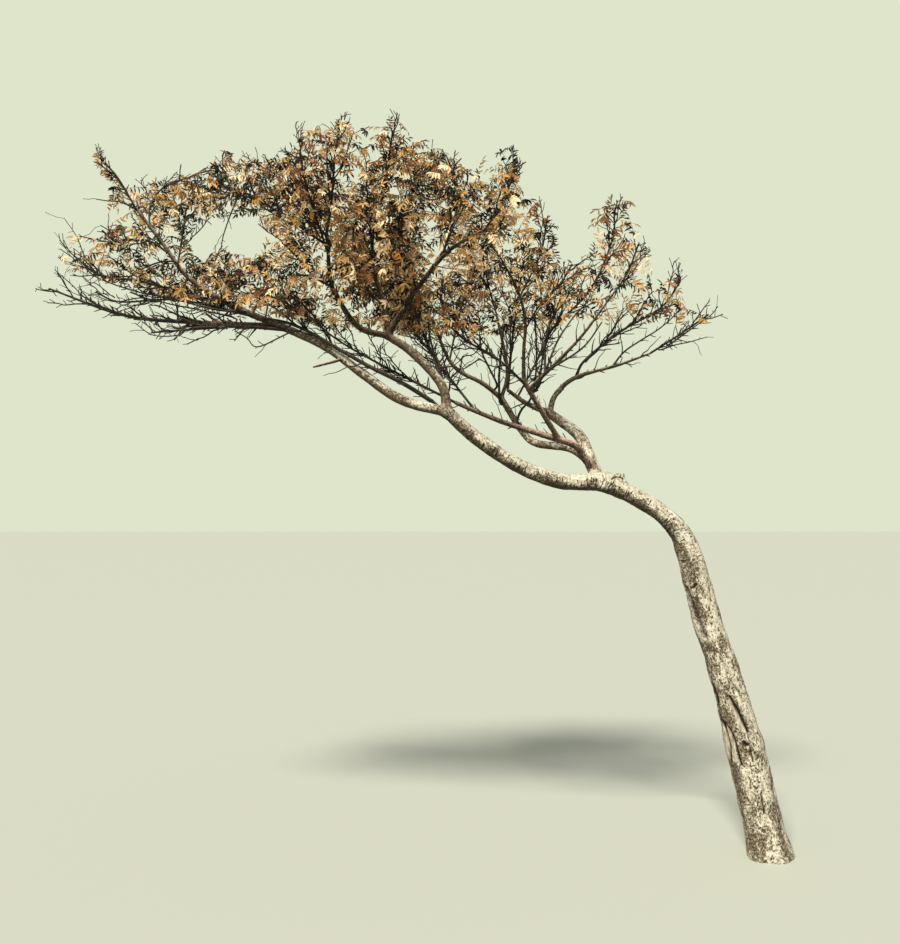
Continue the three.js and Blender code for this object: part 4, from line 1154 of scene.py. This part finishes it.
def leaflet(base, way, across, length, fold, curl):
    """A leaflet's corners and two faces, folded along its rib and curled back towards its tip."""
    normal = np.cross(way, across)
    corners = [base, base + way * length - normal * curl * length]
    for side in (-1, 1):
        for share, part in CORNERS:
            half = LEAFLET_WIDTH * length / 2 * part
            rise = fold * half - curl * length * share**2
            corners.append(base + way * length * share + across * side * half + normal * rise)
    return corners, [(0, 2, 3, 1), (0, 1, 5, 4)]


def leaf_form(form):
    """One leaf of unit length along X, its upper side towards Z, with its own arch and hang."""
    pairs = FEWEST_PAIRS + form % 2
    arch = between(STALK_ARCH, chance(form, 901))
    sway = between(STALK_SWAY, chance(form, 902))
    hang = between(STALK_HANG, chance(form, 903))
    corners, faces = [], []

    def spine(share):
        """The place at a share of the stalk."""
        return np.array([share * (1 - ARCH_SHORTER * arch), sway * share**2, -arch * share**2])

    def add(new_corners, new_faces):
        """Adds corners and the faces between them."""
        first = len(corners)
        corners.extend(new_corners)
        faces.extend([tuple(first + k for k in face) for face in new_faces])

    for low, high in zip(STALK_JOINTS, STALK_JOINTS[1:]):
        bar = []
        for share in (low, high):
            half = between(STALK_HALF, share)
            bar += [spine(share) + np.array(side) * half for side in STALK_SIDES]
        add(bar, [(0, 1, 4, 3), (1, 2, 5, 4), (2, 0, 3, 5)])
    for pair in range(pairs):
        share = FIRST_PAIR + PAIRS_SPAN * pair / (pairs - 1)
        middle = spine(share)
        ahead = unit(spine(share + AHEAD) - middle)
        flat = unit(np.cross(UP, ahead))
        above = np.cross(ahead, flat)
        for side in (-1, 1):
            pick = [chance(form, pair, side + 1, use, 904) for use in range(7)]
            if pick[0] < FALLEN:
                continue
            droop = hang + between(DROOP, pick[1])
            way = unit(ahead * between(LEAN, pick[2]) + flat * side * ASIDE - above * droop)
            across = np.cross(above, way) + above * between(TWIST, pick[3])
            across = unit(across - way * (across @ way))
            length = LEAFLET * between(LENGTHS, pick[4]) * (1 - SHORTER * abs(share - 0.5))
            add(*leaflet(middle, way, across, length, between(FOLD, pick[5]), between(CURL, pick[6])))
    end = spine(STALK_JOINTS[-1])
    ahead = unit(spine(STALK_JOINTS[-1] + END_AHEAD) - end)
    add(*leaflet(end, ahead, unit(np.cross(UP, ahead)), *END_LEAFLET))
    mesh = bpy.data.meshes.new(f"leaf_form_{form}")
    mesh.from_pydata([tuple(corner) for corner in corners], [], faces)
    return mesh


def spray_tree():
    """A copy of one of the forms at each point, turned, scaled, and made real."""
    tree, given, made = new_tree(
        "leaves_at_their_places", Forms="NodeSocketCollection", Material="NodeSocketMaterial"
    )
    kinds = dict(form="INT", size="FLOAT", away="FLOAT_VECTOR", above="FLOAT_VECTOR")
    read = {
        name: node(tree, "GeometryNodeInputNamedAttribute", {"Name": name}, data_type=kind)
        .outputs["Attribute"]
        for name, kind in kinds.items()
    }
    turn = node(tree, "FunctionNodeAxesToRotation", {
        "Primary Axis": read["away"], "Secondary Axis": read["above"],
    }, primary_axis="X", secondary_axis="Z")
    forms = node(tree, "GeometryNodeCollectionInfo", {
        "Collection": given["Forms"], "Separate Children": True, "Reset Children": True,
    })
    copies = node(tree, "GeometryNodeInstanceOnPoints", {
        "Points": given["Geometry"], "Instance": forms.outputs[0], "Pick Instance": True,
        "Instance Index": read["form"], "Rotation": turn.outputs[0], "Scale": read["size"],
    })
    return end_tree(tree, copies.outputs[0], given, made)


# Dry rowan leaf: papery blades of one tint each, crinkled between the side veins, dull where the skin
# has weathered and with a faint sheen where it has not, which breaks the light up over each leaflet.

# The crinkles in a metre and their height, the tints, how often each is dealt beside a mass's own, and
# how often that is.
CRINKLES = 260.0
CRINKLE_HEIGHT = 1.2 * MM
# Of the tints, the near-black dark one is painted shade among the leaves, the brown is darker than the
# leaves' own partly as shade, and the pale cream one is partly a painted highlight on pale dry leaves.
TINTS = {
    "cream": ("#ffe8bd", 0.19), "tan": ("#d9b077", 0.22), "ochre": ("#b48b46", 0.14),
    "orange": ("#b47b43", 0.08), "rust": ("#7d5432", 0.08), "brown": ("#38291a", 0.11),
    "olive": ("#56542f", 0.06), "dark": ("#0c0b07", 0.29),
}
OWN_SHARE = 0.15


def tint_for(own, share):
    """The tint for a share from 0 to 1: the mass's own first, and then the others in turn."""
    if share < OWN_SHARE:
        return own
    rest = (share - OWN_SHARE) / (1 - OWN_SHARE) * sum(part for _, part in TINTS.values())
    for name, (_, part) in TINTS.items():
        rest -= part
        if rest < 0:
            return name
    return own


def middles_near(cell):
    """The middles of the leaves in a cell and in the cells around it."""
    x, y, z = cell
    around = [(x + i, y + j, z + k) for i in (-1, 0, 1) for j in (-1, 0, 1) for k in (-1, 0, 1)]
    return [middle for other in around for middle in taken.get(other, ())]


limb_starts = np.concatenate([limb["line"][:-1] for limb in limbs.values()])
limb_ends = np.concatenate([limb["line"][1:] for limb in limbs.values()])
seen_starts = as_seen(limb_starts).T
seen_ways = as_seen(limb_ends).T - seen_starts


def hides_limb(point):
    """Whether a leaf there would hide a bough behind it from the front."""
    away = off_spans(as_seen([point]).T, seen_starts, seen_ways)[1][0]
    near = (away**2).sum(1) < BARED_WITHIN**2
    return bool((near & (limb_starts[:, 1] > point[1])).any())


dealt = {name: [] for name in TINTS}
taken = {}
for shoot, twig, key, kind in leaf_bearers:
    foot, stem_way = shoot["places"][0], shoot["places"][-1] - shoot["places"][0]
    for place, share in enumerate(LEAF_PLACES[kind]):
        pick = [chance(*key, place, use) for use in range(10)]
        root, along = spot_on(twig["line"], share)
        up_stem = min(max((root - foot) @ stem_way / (stem_way @ stem_way), 0), 1)
        leafy = between(np.resize(shoot["leafy"], 2), up_stem)
        if pick[0] > leafy:
            continue
        gap = LEAF_GAP / max(leafy, SPARSEST) ** 0.5
        size = between(LEAF_LENGTH, pick[1])
        for turn in range(LEAF_TRIES):
            angle = SPIRAL_TURN * (place + 1) + LEAF_RETURN * turn + 2 * math.pi * pick[3]
            away = leaving(along, between(LEAF_SPREAD, pick[2]), angle)
            away = unit(away - UP * between(LEAF_DROOP, pick[4]))
            above = leaving(away, math.pi / 2, 2 * math.pi * pick[5])
            above = unit(above + UP * FACE_UP)
            above = unit(above - away * (above @ away))
            side = np.cross(above, away) * HALF_BREADTH * size
            middle = root + away * size * MIDDLE - above * size * MIDDLE_DROP
            tip = root + away * size - above * size * ARCH
            cell = tuple((middle // LEAF_CELL).astype(int).tolist())
            others = middles_near(cell)
            if others and np.linalg.norm(np.array(others) - middle, axis=1).min() < gap:
                continue
            if hides_limb(middle) and pick[8] < BARED:
                continue
            spots_of_leaf = [middle + side, middle - side, tip]
            x, z = as_seen(spots_of_leaf)
            if (z < np.interp(x, *LEAF_FLOOR)).any():
                continue
            left = room(shoot, spots_of_leaf, OVERLAP)
            if left > 0 and in_outline(spots_of_leaf, between(RAGGED_EDGE, pick[9])):
                if pick[8] < THIN_EDGE[0] + left * THIN_EDGE[1]:
                    form = int(pick[6] * FORMS)
                    dealt[tint_for(shoot["tint"], pick[7])].append((root, away, above, size, form))
                    taken.setdefault(cell, []).append(middle)
                break

forms = bpy.data.collections.new("leaf_forms")
for form in range(FORMS):
    mesh = leaf_form(form)
    forms.objects.link(bpy.data.objects.new(mesh.name, mesh))

sprays = spray_tree()
for name, (hex_colour, _) in TINTS.items():
    leaves = dealt[name]
    mesh = bpy.data.meshes.new("leaf_places")
    mesh.from_pydata([tuple(leaf[0] * MM) for leaf in leaves], [], [])
    for label, kind, column in (("away", "FLOAT_VECTOR", 1), ("above", "FLOAT_VECTOR", 2)):
        note(mesh, label, kind, np.array([leaf[column] for leaf in leaves]))
    note(mesh, "size", "FLOAT", np.array([leaf[3] for leaf in leaves]) * MM)
    note(mesh, "form", "INT", np.array([leaf[4] for leaf in leaves], dtype=np.int32))
    blade, tree, shader = new_material(f"dry_{name}_leaf", roughness=0.62, specular=0.3)
    shader.inputs["Base Color"].default_value = linear(hex_colour)
    place = node(tree, "ShaderNodeTexCoord").outputs["Object"]
    crinkles = node(tree, "ShaderNodeTexNoise", {"Vector": place, "Scale": CRINKLES}).outputs["Fac"]
    bumps = node(tree, "ShaderNodeBump", {"Height": crinkles, "Distance": CRINKLE_HEIGHT, "Strength": 0.7})
    dull = node(tree, "ShaderNodeValToRGB", {"Fac": crinkles}, ((0.35, 0.45), (0.65, 0.8)))
    tree.links.new(bumps.outputs["Normal"], shader.inputs["Normal"])
    tree.links.new(dull.outputs["Color"], shader.inputs["Roughness"])
    mesh = grown_mesh(mesh, sprays, {"Forms": forms, "Material": blade})
    stand_for(f"{name}_leaves", mesh, mass_names)

for mesh in [form.data for form in forms.objects]:
    bpy.data.meshes.remove(mesh)
bpy.data.collections.remove(forms)

# The studio: a plain pale floor under a plain pale sky, which gives the fill, and one soft distant
# lamp high in front on the left for the veiled sun. The camera stands level with the fork, as it did
# for the photograph.

# The lens in pixels of the photograph, its height in pixels, the sensor's in mm, and half the floor's
# width in metres.
FOCAL_PIXELS = 1250
PHOTO_HEIGHT = 944
SENSOR = 36
FLOOR = 30

floor = bpy.data.meshes.new("floor")
corners = [(x * FLOOR, y * FLOOR, 0) for x, y in ((-1, -1), (1, -1), (1, 1), (-1, 1))]
floor.from_pydata(corners, [], [(0, 1, 2, 3)])
plaster, tree, shader = new_material("pale_floor", roughness=0.9, specular=0.2)
shader.inputs["Base Color"].default_value = linear("#c6cbbe")
floor.materials.append(plaster)
new_object("floor", floor)

# The sky shows pale to the camera, and lights the tree more weakly than it shows.
SKY = "#dfe5cb"
SKY_LIGHT = 0.42
world = bpy.data.worlds.new("sky")
world.use_nodes = True
tree = world.node_tree
seen = tree.nodes["Background"]
seen.inputs["Color"].default_value = linear(SKY)
light = node(tree, "ShaderNodeBackground", {"Color": "#e4e6e4", "Strength": SKY_LIGHT})
to_camera = node(tree, "ShaderNodeLightPath").outputs["Is Camera Ray"]
both = node(tree, "ShaderNodeMixShader", {0: to_camera, 1: light.outputs[0], 2: seen.outputs[0]})
tree.links.new(both.outputs[0], tree.nodes["World Output"].inputs["Surface"])
bpy.context.scene.world = world

# The sun: the way that its light travels, how wide it shines in degrees, and its strength.
SUN_WAY = (0.35, 0.75, -0.95)
SUN_SPREAD = 12
SUN_POWER = 3.95
sun = bpy.data.lights.new("key_light", "SUN")
sun.angle = math.radians(SUN_SPREAD)
sun.energy = SUN_POWER
sun.color = linear("#fff7ea")[:3]
new_object("key_light", sun).rotation_euler = Vector(SUN_WAY).to_track_quat("-Z", "Y").to_euler()

bpy.context.scene.view_settings.view_transform = "Standard"
camera = bpy.data.cameras.new("camera")
camera.sensor_width = SENSOR
camera.lens = SENSOR * FOCAL_PIXELS / PHOTO_HEIGHT
camera_object = new_object("camera", camera)
camera_object.location = [mm * MM for mm in VIEWPOINT]
camera_object.rotation_euler = (math.pi / 2, 0, 0)
bpy.context.scene.camera = camera_object
